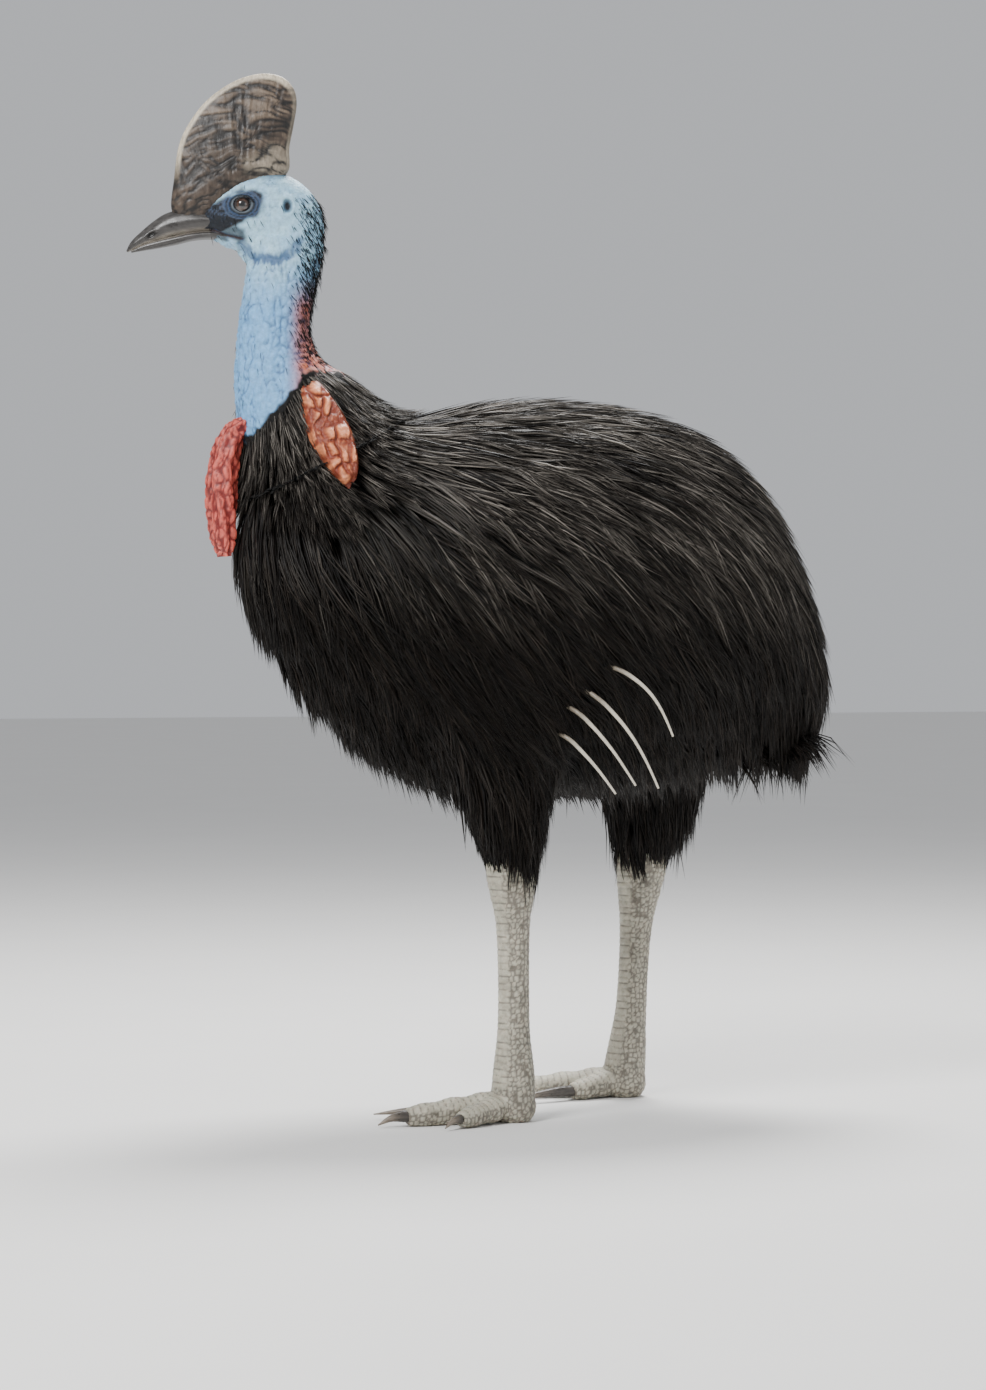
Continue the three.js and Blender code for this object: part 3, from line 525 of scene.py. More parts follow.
def underEdge(points):
    x, _, z = points.T
    ahead = featherEdge["apex"][1] + featherEdge["frontSlope"] * (x - featherEdge["apex"][0])
    return np.where(x < featherEdge["apex"][0], ahead, featherEdge["nape"]) - z


def patchHalf(share):
    return 4 + 23 * np.sin(np.pi * np.clip(0.08 + 0.86 * share, 0, 1)) ** 0.7


def patchShare(points):
    x, _, z = points.T
    share = (patchLine["top"][1] - z) / (patchLine["top"][1] - patchLine["foot"][1])
    middle = lerp(patchLine["top"][0], patchLine["foot"][0], share)
    half = patchHalf(share)
    return share, (x - middle) / half, half


def coreDepth(points):
    legShare = lerp(0.3, 1, smoothstep(points[:, 2], 350, 520))
    return 28 * np.minimum(smoothstep(underEdge(points), -5, 110), legShare)


def lieAt(points):
    x, _, z = points.T
    along = torsoShare(x)
    middle, high, _ = torsoAt(along)
    up = np.clip((z - middle) / high, 0, 1)
    body = 50 - 34 * up**1.5 + 24 * along**2
    onNeck = smoothstep(z, 880, 1000) * smoothstep(-x, 230, 330)
    onThigh = 1 - smoothstep(z, 440, 540)
    droop = np.radians(lerp(lerp(body, 68, onNeck), 84, onThigh))
    return np.stack([np.cos(droop), np.zeros(len(x)), -np.sin(droop)], -1)


# Skin: head, neck, trunk, legs and feet as one piece

headShape = {"middle": -34.5, "half": 90.5, "voxel": 1.9, "smoothing": 14, "wrinkle": 2.8}


def headPoints(directions):
    along, across, up = directions.T
    return np.stack([headShape["middle"] + headShape["half"] * along,
                     (36 + 5 * along) * across,
                     22 - 4 * along - 12 * along**2 + (60 + 16 * along - 4 * along**2) * up], -1)


toes = {"inner": {"length": 92, "splay": -27, "radius": 17, "claw": 105, "clawRadius": 8.5},
        "middle": {"length": 158, "splay": 0, "radius": 19, "claw": 44, "clawRadius": 9},
        "outer": {"length": 112, "splay": 29, "radius": 16, "claw": 34, "clawRadius": 7.5}}


def footPlaced(points, leg):
    return points @ turnAboutZ(leg["turn"]) + np.array(leg["foot"], float)


def toeWay(toe, leg):
    angle = math.radians(toe["splay"])
    return np.array([-math.cos(angle), math.sin(angle) * leg["side"], 0])


def toeForms(leg):
    forms = [ballForm((4, 0, 22), (33, 34, 30))]
    for toe in toes.values():
        way = toeWay(toe, leg)
        radius = toe["radius"]
        rows = [(0, 26, 1.2), (0.33, 21, 1.06), (0.66, 17, 0.96), (1, 13, 0.74)]
        stations = [(*(way[:2] * share * toe["length"]), height, radius * size, radius * size)
                    for share, height, size in rows]
        pads = 3.5 if toe["length"] > 120 else 2.5
        forms.append(tubeForm(stations, 24, 40, np.cross((0, 0, 1), way),
                              lambda share, angle: 1 + 0.07 * np.cos(2 * np.pi * pads * share)
                              + 0 * angle))
    return [(footPlaced(points, leg), groups) for points, groups in forms]


def headAndNeck():
    forms = [roundForm(64, 48, headPoints),
             tubeForm([(-60, 0, -4, 16, 18), (-40, 0, -18, 30, 28), (-10, 0, -30, 40, 36)], 32, 10)]
    for side in (-1, 1):
        forms.append(ballForm((eyeCentre[0], side * 27, eyeCentre[2]), (17, 11.5, 13.5)))
    forms = [(toBird(points), groups) for points, groups in forms]
    forms.append(tubeForm([row for row in neckStations if row[2] > 900], 64, 60))
    points, quads = remeshed(forms, headShape["voxel"])
    return smoothed(points, quads, headShape["smoothing"]), quads


mouthLine = np.array([(-171, -14.7), (-133, -1.6), (-102, -1.6), (-84, -8.9), (-60, -14.5)])
jawLine = [(-62, -26), (-40, -40), (-14, -45), (8, -36), (20, -22)]


def awayFromLine(x, z, line):
    nearest = np.full(len(x), np.inf)
    for (ax, az), (bx, bz) in zip(line[:-1], line[1:]):
        length = (bx - ax) ** 2 + (bz - az) ** 2
        part = np.clip(((x - ax) * (bx - ax) + (z - az) * (bz - az)) / length, 0, 1)
        away = np.hypot(x - lerp(ax, bx, part), z - lerp(az, bz, part))
        nearest = np.minimum(nearest, away)
    return nearest


earCentre = (3, 40, 32)


def headMasks(points):
    x, y, z = toHead(points).T
    eyeAway = np.hypot((x - eyeCentre[0]) / 11.5, (z - eyeCentre[2]) / 9)
    earAway = np.hypot((x - earCentre[0]) / 7, (z - earCentre[2]) / 10.5)
    inHead = smoothstep(z, -45, -20)
    edge = 4 * noiseAt(points, 9, 65)
    lores = 1 - smoothstep(awayFromLine(x, z, [(-132, 6), (-92, 16), (-52, 36)]) + edge, 17, 26)
    gapeDark = 1 - smoothstep(awayFromLine(x, z, [(-130, -2), (-84, -4), (-66, -8)]) + edge, 7, 14)
    lores = np.maximum(lores, 0.85 * gapeDark)
    jaw = 1 - smoothstep(awayFromLine(x, z, jawLine) + 1.5 * edge, 2, 11)
    return {"x": x, "y": y, "z": z, "eye": eyeAway, "ear": earAway, "inHead": inHead,
            "lores": lores, "jaw": jaw * smoothstep(np.abs(y), 6, 20),
            "mouth": awayFromLine(x, z, mouthLine)}


def carvedHead(points, quads):
    masks = headMasks(points)
    normals = normalsOf(points, quads)
    back = smoothstep(points[:, 0] - np.interp(points[:, 2], [1040, 1286], [-412, -402]), -14, 22)
    neckPart = 1 - smoothstep(masks["z"], -30, 25)
    bent = points + 5 * np.stack([noiseAt(points, 17, 61), noiseAt(points, 17, 62),
                                  noiseAt(points, 17, 63)], -1)
    fold = np.sqrt(np.abs(noiseAt(bent, (13, 10, 34), 3))) + 0.6 * knobsAt(bent, (9, 8, 16), 4)
    napeFold = np.sqrt(np.abs(noiseAt(bent, (14, 18, 7.5), 5))) + 0.3 * knobsAt(bent, (7, 7, 6), 64)
    cheekFold = 0.3 * np.sqrt(np.abs(noiseAt(bent, (13, 13, 11), 6))) + 0.16 * knobsAt(points, 4.6, 7)
    height = lerp(cheekFold, lerp(fold, napeFold, back), neckPart) * headShape["wrinkle"]
    ringFold = bell(masks["eye"], 1.75, 0.12) + bell(masks["eye"], 2.2, 0.14)
    onSide = smoothstep(np.abs(masks["y"]), 8, 16)
    height -= 1.1 * ringFold * onSide
    height += 1.6 * bell(masks["eye"], 1.22, 0.16) * onSide
    height += 1.8 * bell(masks["ear"], 1.3, 0.3) * onSide
    height -= 5.5 * (1 - smoothstep(masks["ear"], 0.6, 1.1)) * onSide
    gape = (1 - smoothstep(masks["mouth"], 0.8, 3.4)) * smoothstep(-masks["x"], 55, 64)
    height += 1.2 * bell(masks["mouth"], 4.4, 1.8) * smoothstep(-masks["x"], 52, 70)
    height -= 3.2 * gape + 2.2 * masks["jaw"]
    points = points + normals * height[:, None]
    local = toHead(points)
    inner = np.abs(local[:, 1])
    opening = (1 - smoothstep(masks["eye"], 0.92, 1.1)) * onSide
    local[:, 1] = np.sign(local[:, 1]) * lerp(inner, np.minimum(inner, eyeCentre[1] + 3), opening)
    return toBird(local), height, back


# The dark blue skin colour is painted shade, laid into the creases and under the jaw
skinColours = {
    "cheek": (0.36, 0.57, 0.68), "throat": (0.13, 0.35, 0.66), "lores": (0.007, 0.009, 0.013),
    "nape": (0.55, 0.13, 0.045), "paintedShade": (0.03, 0.08, 0.19), "under": (0.004, 0.0036, 0.0034),
    "leg": (0.46, 0.43, 0.34), "legDark": (0.17, 0.15, 0.12), "mouth": (0.05, 0.03, 0.03),
    "lid": (0.16, 0.2, 0.24),
}


def headPaint(points, height, back):
    masks = headMasks(points)
    z = points[:, 2]
    mottle = 0.5 + 0.5 * noiseAt(points, 14, 8)
    ragged = 7 * noiseAt(points, 8, 66)
    creases = 1 - smoothstep(height, 0.2, headShape["wrinkle"] * 0.62)
    fineCreases = 1 - smoothstep(height, 0.05, headShape["wrinkle"] * 0.22)
    layers = [
        ("throat", (1 - smoothstep(z, 1150, 1250)) * 0.8),
        ("throat", 0.35 * mottle),
        ("nape", back * (1 - smoothstep(z, 1150, 1215)) * (0.75 + 0.25 * mottle)),
        ("lores", np.maximum(masks["lores"], smoothstep(masks["z"], 66, 84))),
        ("lid", bell(masks["eye"], 1.2, 0.2) * 0.5),
        # Painted shade: the skin is darkened in the neck's creases and in the head's fine creases
        ("paintedShade", 0.8 * creases * (1 - masks["inHead"])),
        ("paintedShade", 0.45 * fineCreases * masks["inHead"]),
        ("mouth", (1 - smoothstep(masks["mouth"], 0.5, 2.4)) * smoothstep(-masks["x"], 55, 64)),
        # Painted shade: the ear hole is darkened with the lores' near-black
        ("lores", 1 - smoothstep(masks["ear"], 0.4, 1)),
        # Painted shadow below the cheek, along the jaw fold
        ("paintedShade", 0.45 * masks["jaw"]),
        ("under", smoothstep(underEdge(points) + ragged, 8, 18)),
    ]
    return layered(skinColours["cheek"], [(skinColours[name], share) for name, share in layers])


def legPaint(points, height):
    colour = blendColours(skinColours["legDark"], skinColours["leg"], smoothstep(height, 0.05, 0.75))
    worn = 0.5 + 0.5 * noiseAt(points, 22, 9)
    colour = colour * lerp(0.8, 1.12, worn)[:, None]
    return blendColours(colour, skinColours["under"], smoothstep(points[:, 2], 372, 395))


legShape = {"voxel": 2.1, "smoothing": 10, "scute": 9.5, "height": 1.0}


def legSkin():
    forms = []
    for leg in legs.values():
        forms.append(tubeForm(leg["shank"], 40, 60))
        forms += toeForms(leg)
    points, quads = remeshed(forms, legShape["voxel"])
    points = smoothed(points, quads, legShape["smoothing"])
    normals = normalsOf(points, quads)
    front = smoothstep(-normals[:, 0], 0.35, 0.75)
    onTop = smoothstep(normals[:, 2], 0.15, 0.5) * (1 - smoothstep(points[:, 2], 40, 60))
    bandPlace = points[:, 2] / legShape["scute"] + 0.14 * noiseAt(points, 25, 10)
    reach = np.min([np.hypot(*(points[:, :2] - np.array(leg["foot"][:2])).T)
                    for leg in legs.values()], axis=0)
    toeBand = reach / legShape["scute"] + 0.1 * noiseAt(points, 20, 11)
    band = np.abs((bandPlace % 1) - 0.5) * 2
    toeRidge = np.abs((toeBand % 1) - 0.5) * 2
    pebble = knobsAt(points, (6.5, 6.5, 7.5), 12)
    height = lerp(pebble, 1 - band**4, front * smoothstep(points[:, 2], 40, 60))
    height = lerp(height, 1 - toeRidge**4, onTop)
    knee = noiseAt(points, (13, 13, 8), 13) * smoothstep(points[:, 2], 285, 320)
    points = points + normals * (legShape["height"] * height + 0.8 * knee)[:, None]
    points[:, 2] = np.maximum(points[:, 2], 0.2)
    return points, quads, height


bodyShape = {"voxel": 8, "smoothing": 6}


def bodySkin():
    forms = [roundForm(80, 56, torsoPoints), tubeForm(neckStations[:5], 48, 24)]
    for leg in legs.values():
        forms.append(tubeForm(leg["drumstick"], 40, 24))
    points, quads = remeshed(forms, bodyShape["voxel"])
    return smoothed(points, quads, bodyShape["smoothing"]), quads


outlinePoints, outlineQuads = bodySkin()
outlineNormals = normalsOf(outlinePoints, outlineQuads)
corePoints = outlinePoints - outlineNormals * (coreDepth(outlinePoints) + 3)[:, None]
print("body form", len(outlinePoints))

headBase, headQuads = headAndNeck()
headSkin, headHeight, headBack = carvedHead(headBase, headQuads)
sunkUnder = coreDepth(headSkin) * smoothstep(underEdge(headSkin), 0, 40)
headSkin = headSkin - normalsOf(headSkin, headQuads) * sunkUnder[:, None]
print("head and neck", len(headSkin))
legPoints, legQuads, legHeight = legSkin()
print("legs and feet", len(legPoints))

skinPaint = Paint("bareSkin", {"Roughness": 0.5, "Specular IOR Level": 0.4,
                               "Subsurface Weight": 0.08, "Subsurface Scale": 0.004})
pores = skinPaint.noise(900, 3)
skinPaint.toned(skinPaint.noise(140, 5), 0.72, 1.18)
# The black skin under the coat is matt
matt = skinPaint.spread(skinPaint.attribute("tone", "Fac"), 0.4, 0, 0.004, 0.03)
skinPaint.feed("Roughness", skinPaint.spread(pores, 0.42, 0.6) + matt)
skinPaint.bump(pores * 0.5 + skinPaint.cells(420) * 1.4, 0.55, 0.0009)

skinForm = joinedForms([(headSkin, [headQuads]), (corePoints, [outlineQuads]), (legPoints, [legQuads])])
skin = addMesh("skin", skinForm, skinPaint.material)
paintPoints(skin, np.vstack([headPaint(headSkin, headHeight, headBack),
                             np.tile(skinColours["under"], (len(corePoints), 1)),
                             legPaint(legPoints, legHeight)]))
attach(skin, "root")
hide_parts("head", "neck", "neck_base", "torso", "rump", "thigh_left", "thigh_right",
            "shank_left", "shank_right", "foot_left", "foot_right")
print("skin done")

# Casque

casque = {
    "outline": [(-160, 24), (-158, 73), (-150, 123), (-131, 160), (-106, 189), (-70, 213),
                (-33, 223.5), (-4, 219), (13, 203), (17.5, 181), (13, 150), (7, 118), (5, 84),
                (-24, 62), (-84, 34), (-125, 12)],
    "core": (-62, 112), "fan": (-66, -60), "thick": (27, 11), "ripple": 1.1, "rim": 1.5,
    "dark": (0.006, 0.005, 0.0045), "brown": (0.06, 0.042, 0.03), "ridge": (0.15, 0.112, 0.08),
    "pale": (0.52, 0.45, 0.34), "paleFoot": (-20, 88, 46, 34), "columns": 240, "rings": 120,
    "look": {"gloss": 0.45, "grain": (260, 6, 0.65), "stretch": (1, 1, 0.3),
             "shades": (0.6, 1.3), "roughness": (0.36, 0.58), "bump": (0.5, 0.0012)},
}


def casquePiece():
    columns = casque["columns"]
    outline = splineThrough(casque["outline"], columns, closed=True)
    core = np.array(casque["core"], float)
    found = {}

    def place(d):
        turn = (np.arctan2(d[:, 2], d[:, 1]) / (2 * np.pi)) % 1
        index = np.rint(turn * columns).astype(int) % columns
        out = np.sqrt(np.maximum(0, 1 - d[:, 0] ** 2))
        flat = core + (outline[index] - core) * out[:, None]
        thick = lerp(*casque["thick"], np.clip((flat[:, 1] - 20) / 200, 0, 1))
        swell = -np.sign(d[:, 0]) * np.abs(d[:, 0]) ** 0.75
        topEdge = np.clip(smoothstep(outline[index][:, 1], 60, 110)
                          * (1 - 0.75 * smoothstep(outline[index][:, 0], 0, 14)), 0, 1)
        rim = smoothstep(out, 0.9, 0.955) * topEdge
        points = np.stack([flat[:, 0], swell * thick, flat[:, 1]], -1)
        fan = points[:, [0, 2]] - np.array(casque["fan"], float)
        spread, reach = np.arctan2(fan[:, 0], fan[:, 1]), np.hypot(fan[:, 0], fan[:, 1])
        bent = noiseAt(points, 24, 21)
        grain = np.stack([spread * 9 + 0.8 * bent, reach / 6.2 + 1.3 * bent,
                          np.sign(d[:, 0]) * 2], -1)
        ripple = np.abs(noiseAt(grain, 1, 22)) + 0.45 * np.abs(noiseAt(grain, (0.5, 0.45, 1), 23))
        fibre = noiseAt(np.stack([spread * 60, reach / 30, grain[:, 2]], -1), 1, 24)
        side = (1 - rim) * smoothstep(np.abs(d[:, 0]), 0.05, 0.3)
        lift = casque["ripple"] * (ripple * 1.5 + 0.5 * fibre) * side + casque["rim"] * rim
        points[:, 1] += np.sign(swell) * lift
        footX, footZ, footLong, footHigh = casque["paleFoot"]
        found["foot"] = np.hypot((flat[:, 0] - footX) / footLong, (flat[:, 1] - footZ) / footHigh)
        found["rim"], found["ripple"], found["up"] = rim, ripple, flat[:, 1]
        return points

    points, groups = roundForm(columns, casque["rings"], place)
    points = toBird(points)
    ripple, patchy = found["ripple"], 0.5 + 0.5 * noiseAt(points, 40, 25)
    ridges = smoothstep(ripple, 0.52, 0.95) * smoothstep(found["up"], 60, 140)
    paleFoot = (1 - smoothstep(found["foot"] + 0.3 * noiseAt(points, 12, 26), 0.45, 1.1)) * 0.3
    colour = layered(casque["dark"], [
        (casque["brown"], smoothstep(ripple, 0.15, 0.75)),
        (casque["ridge"], 0.85 * (ridges * lerp(0.35, 1, patchy))),
        (casque["pale"], np.maximum(found["rim"], paleFoot * smoothstep(ripple, 0.1, 0.5)))])
    colour = colour * lerp(0.75, 1.2, patchy)[:, None]
    piece = paintedPiece("casqueShell", points, groups, hornMaterial("casqueHorn", casque["look"]),
                         colour)
    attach(piece, "root")
    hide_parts("casque")


casquePiece()
print("casque done")

# Bill

bill = {
    "upper": [(-78, 0, 12, 17, 20), (-106, 0, 13, 16.5, 19), (-134, 0, 12, 18.5, 17),
              (-160, 0, 7.5, 18, 14.5), (-179, 0, -0.5, 15, 12), (-200, 0, -12, 10, 8.5),
              (-215, 0, -22, 6.2, 5.5), (-225, 0, -32, 1.6, 1.6)],
    "lower": [(-66, 0, -16, 6.5, 19), (-88, 0, -9.5, 6.5, 17.5), (-110, 0, -7.5, 6.5, 16),
              (-134, 0, -10, 6.5, 14), (-156, 0, -15, 7, 11.5), (-180, 0, -20.5, 6.5, 8.5),
              (-200, 0, -25.5, 4.8, 5.5), (-213, 0, -30, 2.6, 3), (-219, 0, -32.5, 1.2, 1.4)],
    "nostril": (-190, -8.2), "nostrilTilt": 29, "nostrilSize": (8.5, 3.2), "nostrilDepth": 4,
    "horn": (0.035, 0.032, 0.03), "edge": (0.17, 0.15, 0.125), "hole": (0.002, 0.002, 0.002),
    "sides": 56, "rings": 90,
    "look": {"gloss": 0.5, "grain": (190, 5, 0.6), "stretch": (0.35, 1, 1),
             "shades": (0.65, 1.5), "roughness": (0.24, 0.42), "bump": (0.35, 0.0008)},
}


def billPieces():
    material = hornMaterial("billHorn", bill["look"])
    for name, rows, node in (("billUpper", bill["upper"], "bill_upper"),
                             ("billLower", bill["lower"], "bill_lower")):
        points, groups = tubeForm(rows, bill["sides"], bill["rings"])
        x, y, z = points.T
        line = splineThrough(rows, bill["rings"] + 1)
        order = np.argsort(line[:, 0])
        middle = np.interp(x, line[order, 0], line[order, 2])
        deep = np.interp(x, line[order, 0], line[order, 3])
        up = (z - middle) / np.maximum(deep, 1)
        edge = smoothstep(-up if name == "billUpper" else up, 0.45, 0.85)
        tone = blendColours(bill["horn"], bill["edge"], edge)
        if name == "billUpper":
            y = y * (1 - 0.22 * smoothstep(up, 0.1, 1))
            tilt = math.radians(bill["nostrilTilt"])
            dx, dz = x - bill["nostril"][0], z - bill["nostril"][1]
            along = dx * math.cos(tilt) + dz * math.sin(tilt)
            over = dz * math.cos(tilt) - dx * math.sin(tilt)
            hole = np.hypot(along / bill["nostrilSize"][0], over / bill["nostrilSize"][1])
            sunk = bill["nostrilDepth"] * (1 - smoothstep(hole, 0.5, 1.15))
            groove = bell(up, 0.25, 0.16) * smoothstep(x, -186, -150) * 0.7
            y = np.sign(y) * np.maximum(0, np.abs(y) - sunk + 0.8 * bell(hole, 1.4, 0.25) - groove)
            # Painted shade: the sunken nostril is darkened near-black
            tone = blendColours(tone, bill["hole"], 1 - smoothstep(hole, 0.5, 1))
        points = toBird(np.stack([x, y, z], -1))
        piece = paintedPiece(name, points, groups, material, tone)
        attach(piece, "root")
        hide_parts(node)


billPieces()
print("bill done")

# Eyes

eye = {"radius": 13.5, "pupil": 5.2, "iris": 9.6, "bulge": 0.7, "columns": 72, "rings": 48,
       "brown": (0.012, 0.006, 0.003), "amber": (0.055, 0.02, 0.007),
       "black": (0.004, 0.004, 0.004), "white": (0.02, 0.015, 0.014)}


def eyePieces():
    for name, side in bothSides.items():
        paint = Paint("eyeWet_" + name, {"Roughness": 0.06, "Specular IOR Level": 0.6,
                                         "Coat Weight": 1.0, "Coat Roughness": 0.03})
        paint.toned(paint.noise(700, 4), 0.85, 1.15)
        centre = np.array([eyeCentre[0], side * eyeCentre[1], eyeCentre[2]])
        points, groups = roundForm(eye["columns"], eye["rings"], lambda d: d[:, [1, 0, 2]])
        away = np.hypot(points[:, 0], points[:, 2]) * eye["radius"]
        away = np.where(points[:, 1] * side > 0, away, eye["radius"])
        radius = eye["radius"] + eye["bulge"] * (1 - smoothstep(away, 3, eye["iris"]))
        spokes = 0.5 + 0.5 * noiseAt(np.stack([np.arctan2(points[:, 0], points[:, 2]) * 12,
                                               away * 0.5, away * 0], -1), 1, 31)
        colour = blendColours(eye["amber"], eye["brown"], smoothstep(away, eye["pupil"], eye["iris"]))
        colour = layered(colour * lerp(0.6, 1.25, spokes)[:, None], [
            (eye["black"], 1 - smoothstep(away, eye["pupil"] - 0.3, eye["pupil"] + 0.2)),
            (eye["white"], smoothstep(away, eye["iris"] - 0.3, eye["iris"] + 0.6))])
        points = toBird(points * radius[:, None] + centre)
        piece = paintedPiece("eyeball_" + name, points, groups, paint.material, colour)
        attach(piece, "root")
        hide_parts("eye_" + name)


eyePieces()
print("eyes done")

# Wattles and side patches

wattle = {
    "rows": [(-470, 17, 1000, 10, 9), (-488, 18, 978, 14, 12), (-500, 20, 930, 17, 13),
             (-502, 22, 880, 17, 13), (-500, 23, 835, 13, 11), (-497, 23, 808, 5, 5)],
    "sides": 60, "rings": 125, "folds": 5, "fold": 0.11, "knob": 2.4,
    "deep": (0.16, 0.012, 0.01), "ridge": (0.60, 0.11, 0.08),
}


def fleshMaterial(name, roughness):
    paint = Paint(name, {"Specular IOR Level": 0.45, "Subsurface Weight": 0.12,
                         "Subsurface Scale": 0.005})
    grain = paint.noise(650, 4)
    paint.toned(paint.noise(160, 5), 0.7, 1.2)
    paint.roughened(grain, roughness - 0.08, roughness + 0.1)
    paint.bump(grain + paint.cells(380), 0.5, 0.0009)
    return paint.material


def wattlePieces():
    material = fleshMaterial("wattleSkin", 0.42)
    for name, side in bothSides.items():
        rows = [(x, side * y, z, deep, wide) for x, y, z, deep, wide in wattle["rows"]]
        found = {}

        def swell(share, angle):
            ridge = np.cos(wattle["folds"] * (angle + 0.5 * np.sin(share * 7 + side)))
            found["ridge"] = ridge.ravel()
            return 1 + wattle["fold"] * ridge

        points, groups = tubeForm(rows, wattle["sides"], wattle["rings"], swell=swell)
        line = tubeFrames(rows, wattle["rings"])["at"]
        middle = np.vstack([np.repeat(line, wattle["sides"], axis=0), line[:1], line[-1:]])
        out = unit(points - middle)
        slack = noiseAt(points, (18, 18, 26), 42)
        bent = points + 7 * np.stack([noiseAt(points, 15, 43), noiseAt(points, 15, 44), slack], -1)
        knob = knobsAt(bent, (8, 8, 19), 41) - 0.4 + 0.3 * noiseAt(bent, (4, 4, 7), 45)
        points = points + out * (wattle["knob"] * knob * 0.7 + 1.8 * slack)[:, None]
        height = knob + 0.25 * np.append(found["ridge"], [0, 0])
        colour = blendColours(wattle["deep"], wattle["ridge"], smoothstep(height, -0.45, 0.5))
        piece = paintedPiece("wattleFlesh_" + name, points, groups, material, colour)
        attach(piece, "root")
        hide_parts("wattle_" + name)


patch = {"rows": 120, "columns": 56, "height": 8, "knob": 9, "sunk": 16,
         "deep": (0.2, 0.035, 0.015), "pale": (0.72, 0.26, 0.12)}


def patchPieces():
    material = fleshMaterial("patchSkin", 0.46)
    share = np.repeat(np.linspace(-0.04, 1.08, patch["rows"]), patch["columns"])
    column = np.tile(np.linspace(-1.15, 1.15, patch["columns"]), patch["rows"])
    middle = lerp(patchLine["top"][0], patchLine["foot"][0], share)
    x = middle + column * patchHalf(share)
    z = lerp(patchLine["top"][1], patchLine["foot"][1], share) + 5 * np.sin(column * 2)
    flank = flankAt(x, z)
    flat = np.stack([x, z * 0, z], -1)
    flat += 7 * np.stack([noiseAt(flat, 19, 53), z * 0, noiseAt(flat, 19, 54)], -1)
    knob = knobsAt(flat, (17, 40, 23), 51) * (0.6 + 0.4 * np.cos(column * 1.3) ** 2)
    fine = knobsAt(flat, (5.5, 40, 9), 52)
    edge = (1 - smoothstep(np.abs(column), 0.8, 1.15)) * smoothstep(share, -0.04, 0.06)
    edge = edge * (1 - smoothstep(share, 0.96, 1.08))
    lift = -6 + edge * (6 + patch["height"] + patch["knob"] * knob + 1.4 * fine)
    rows, columns = patch["rows"], patch["columns"]
    cell = (np.arange(rows - 1)[:, None] * columns + np.arange(columns - 1)[None, :]).ravel()
    count = rows * columns
    top = np.stack([cell, cell + 1, cell + columns + 1, cell + columns], -1)
    rim = np.concatenate([np.arange(columns), np.arange(1, rows) * columns + columns - 1,
                          (rows - 1) * columns + np.arange(columns - 2, -1, -1),
                          np.arange(rows - 2, 0, -1) * columns])
    after = np.roll(rim, -1)
    wall = np.stack([after, rim, rim + count, after + count], -1)
    groups = [top, top[:, ::-1] + count, wall]
    tone = blendColours(patch["deep"], patch["pale"], smoothstep(0.75 * knob + 0.25 * fine, 0.1, 0.8))
    for name, side in bothSides.items():
        outer = np.stack([x, side * (flank + lift), z], -1)
        inner = np.stack([x, side * (flank - patch["sunk"]), z], -1)
        piece = paintedPiece("patchFlap_" + name, np.vstack([outer, inner]), groups, material,
                             np.vstack([tone, tone]))
        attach(piece, "root")
        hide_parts("neck_patch_" + name)


wattlePieces()
patchPieces()
print("wattles and patches done")

# Claws

claw = {"rows": [(0, 13.5, 1), (0.3, 14.5, 0.86), (0.65, 12.5, 0.52), (1, 13, 0.1)],
        "horn": (0.045, 0.038, 0.032), "tip": (0.16, 0.13, 0.1), "sides": 28, "rings": 46,
        "look": {"gloss": 0.5, "grain": (240, 5, 0.6), "stretch": (0.3, 1, 1),
                 "shades": (0.6, 1.5), "roughness": (0.25, 0.45), "bump": (0.35, 0.0008)}}


def clawPieces():
    material = hornMaterial("clawHorn", claw["look"])
    for legName, leg in legs.items():
        for toeName, toe in toes.items():
            way = toeWay(toe, leg)
            start = toe["length"] - 12
            drop = 5 if toe["claw"] > 60 else 9
            rows = []
            for share, height, size in claw["rows"]:
                out = way * (start + (toe["claw"] + 12) * share)
                radius = toe["clawRadius"] * size
                level = height - drop if share == 1 else height
                rows.append((out[0], out[1], level, radius * 1.1, radius))
            points, groups = tubeForm(rows, claw["sides"], claw["rings"], np.cross((0, 0, 1), way),
                                      lambda share, angle: 1 + 0.05 * np.cos(2 * angle)
                                      - 0.02 * np.cos(share * 60))
            tip = smoothstep(points @ way, start + 0.4 * toe["claw"], start + toe["claw"])
            tone = blendColours(claw["horn"], claw["tip"], tip)
            points = footPlaced(points, leg)
            points[:, 2] = np.maximum(points[:, 2], 0.2)
            piece = paintedPiece(f"talon_{toeName}_{legName}", points, groups, material, tone)
            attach(piece, "root")
            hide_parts(f"claw_{toeName}_{legName}")


clawPieces()
print("claws done")

# Coat

coat = {
    "steps": 12, "overhang": -0.35, "sink": 4, "facing": 0.72, "bellyShare": 0.3, "fall": 0.16,
    "lowest": 388, "patch": 0.003, "pieceTriangles": 190000,
    "black": (0.004, 0.0037, 0.0037), "brown": (0.022, 0.016, 0.012), "sheen": (0.30, 0.27, 0.235),
}
kinds = {
    "body": {"spacing": 212, "strands": 6, "rings": 4, "length": 205, "wide": 21, "thick": 7,
             "strand": 2.1, "proud": 3.5, "loose": 6, "turn": 11, "curl": 16, "hang": 84,
             "gather": 0.78, "wave": 3.2},
    "neck": {"spacing": 90, "strands": 4, "rings": 4, "length": 74, "wide": 11, "thick": 4,
             "strand": 1.15, "proud": 1.5, "loose": 2.5, "turn": 10, "curl": 12, "hang": 30,
             "gather": 0.5, "wave": 1.4},
    "thigh": {"spacing": 118, "strands": 4, "rings": 4, "length": 82, "wide": 13, "thick": 5,
              "strand": 1.4, "proud": 2, "loose": 3, "turn": 9, "curl": 12, "hang": 40,
              "gather": 0.5, "wave": 1.8},
}


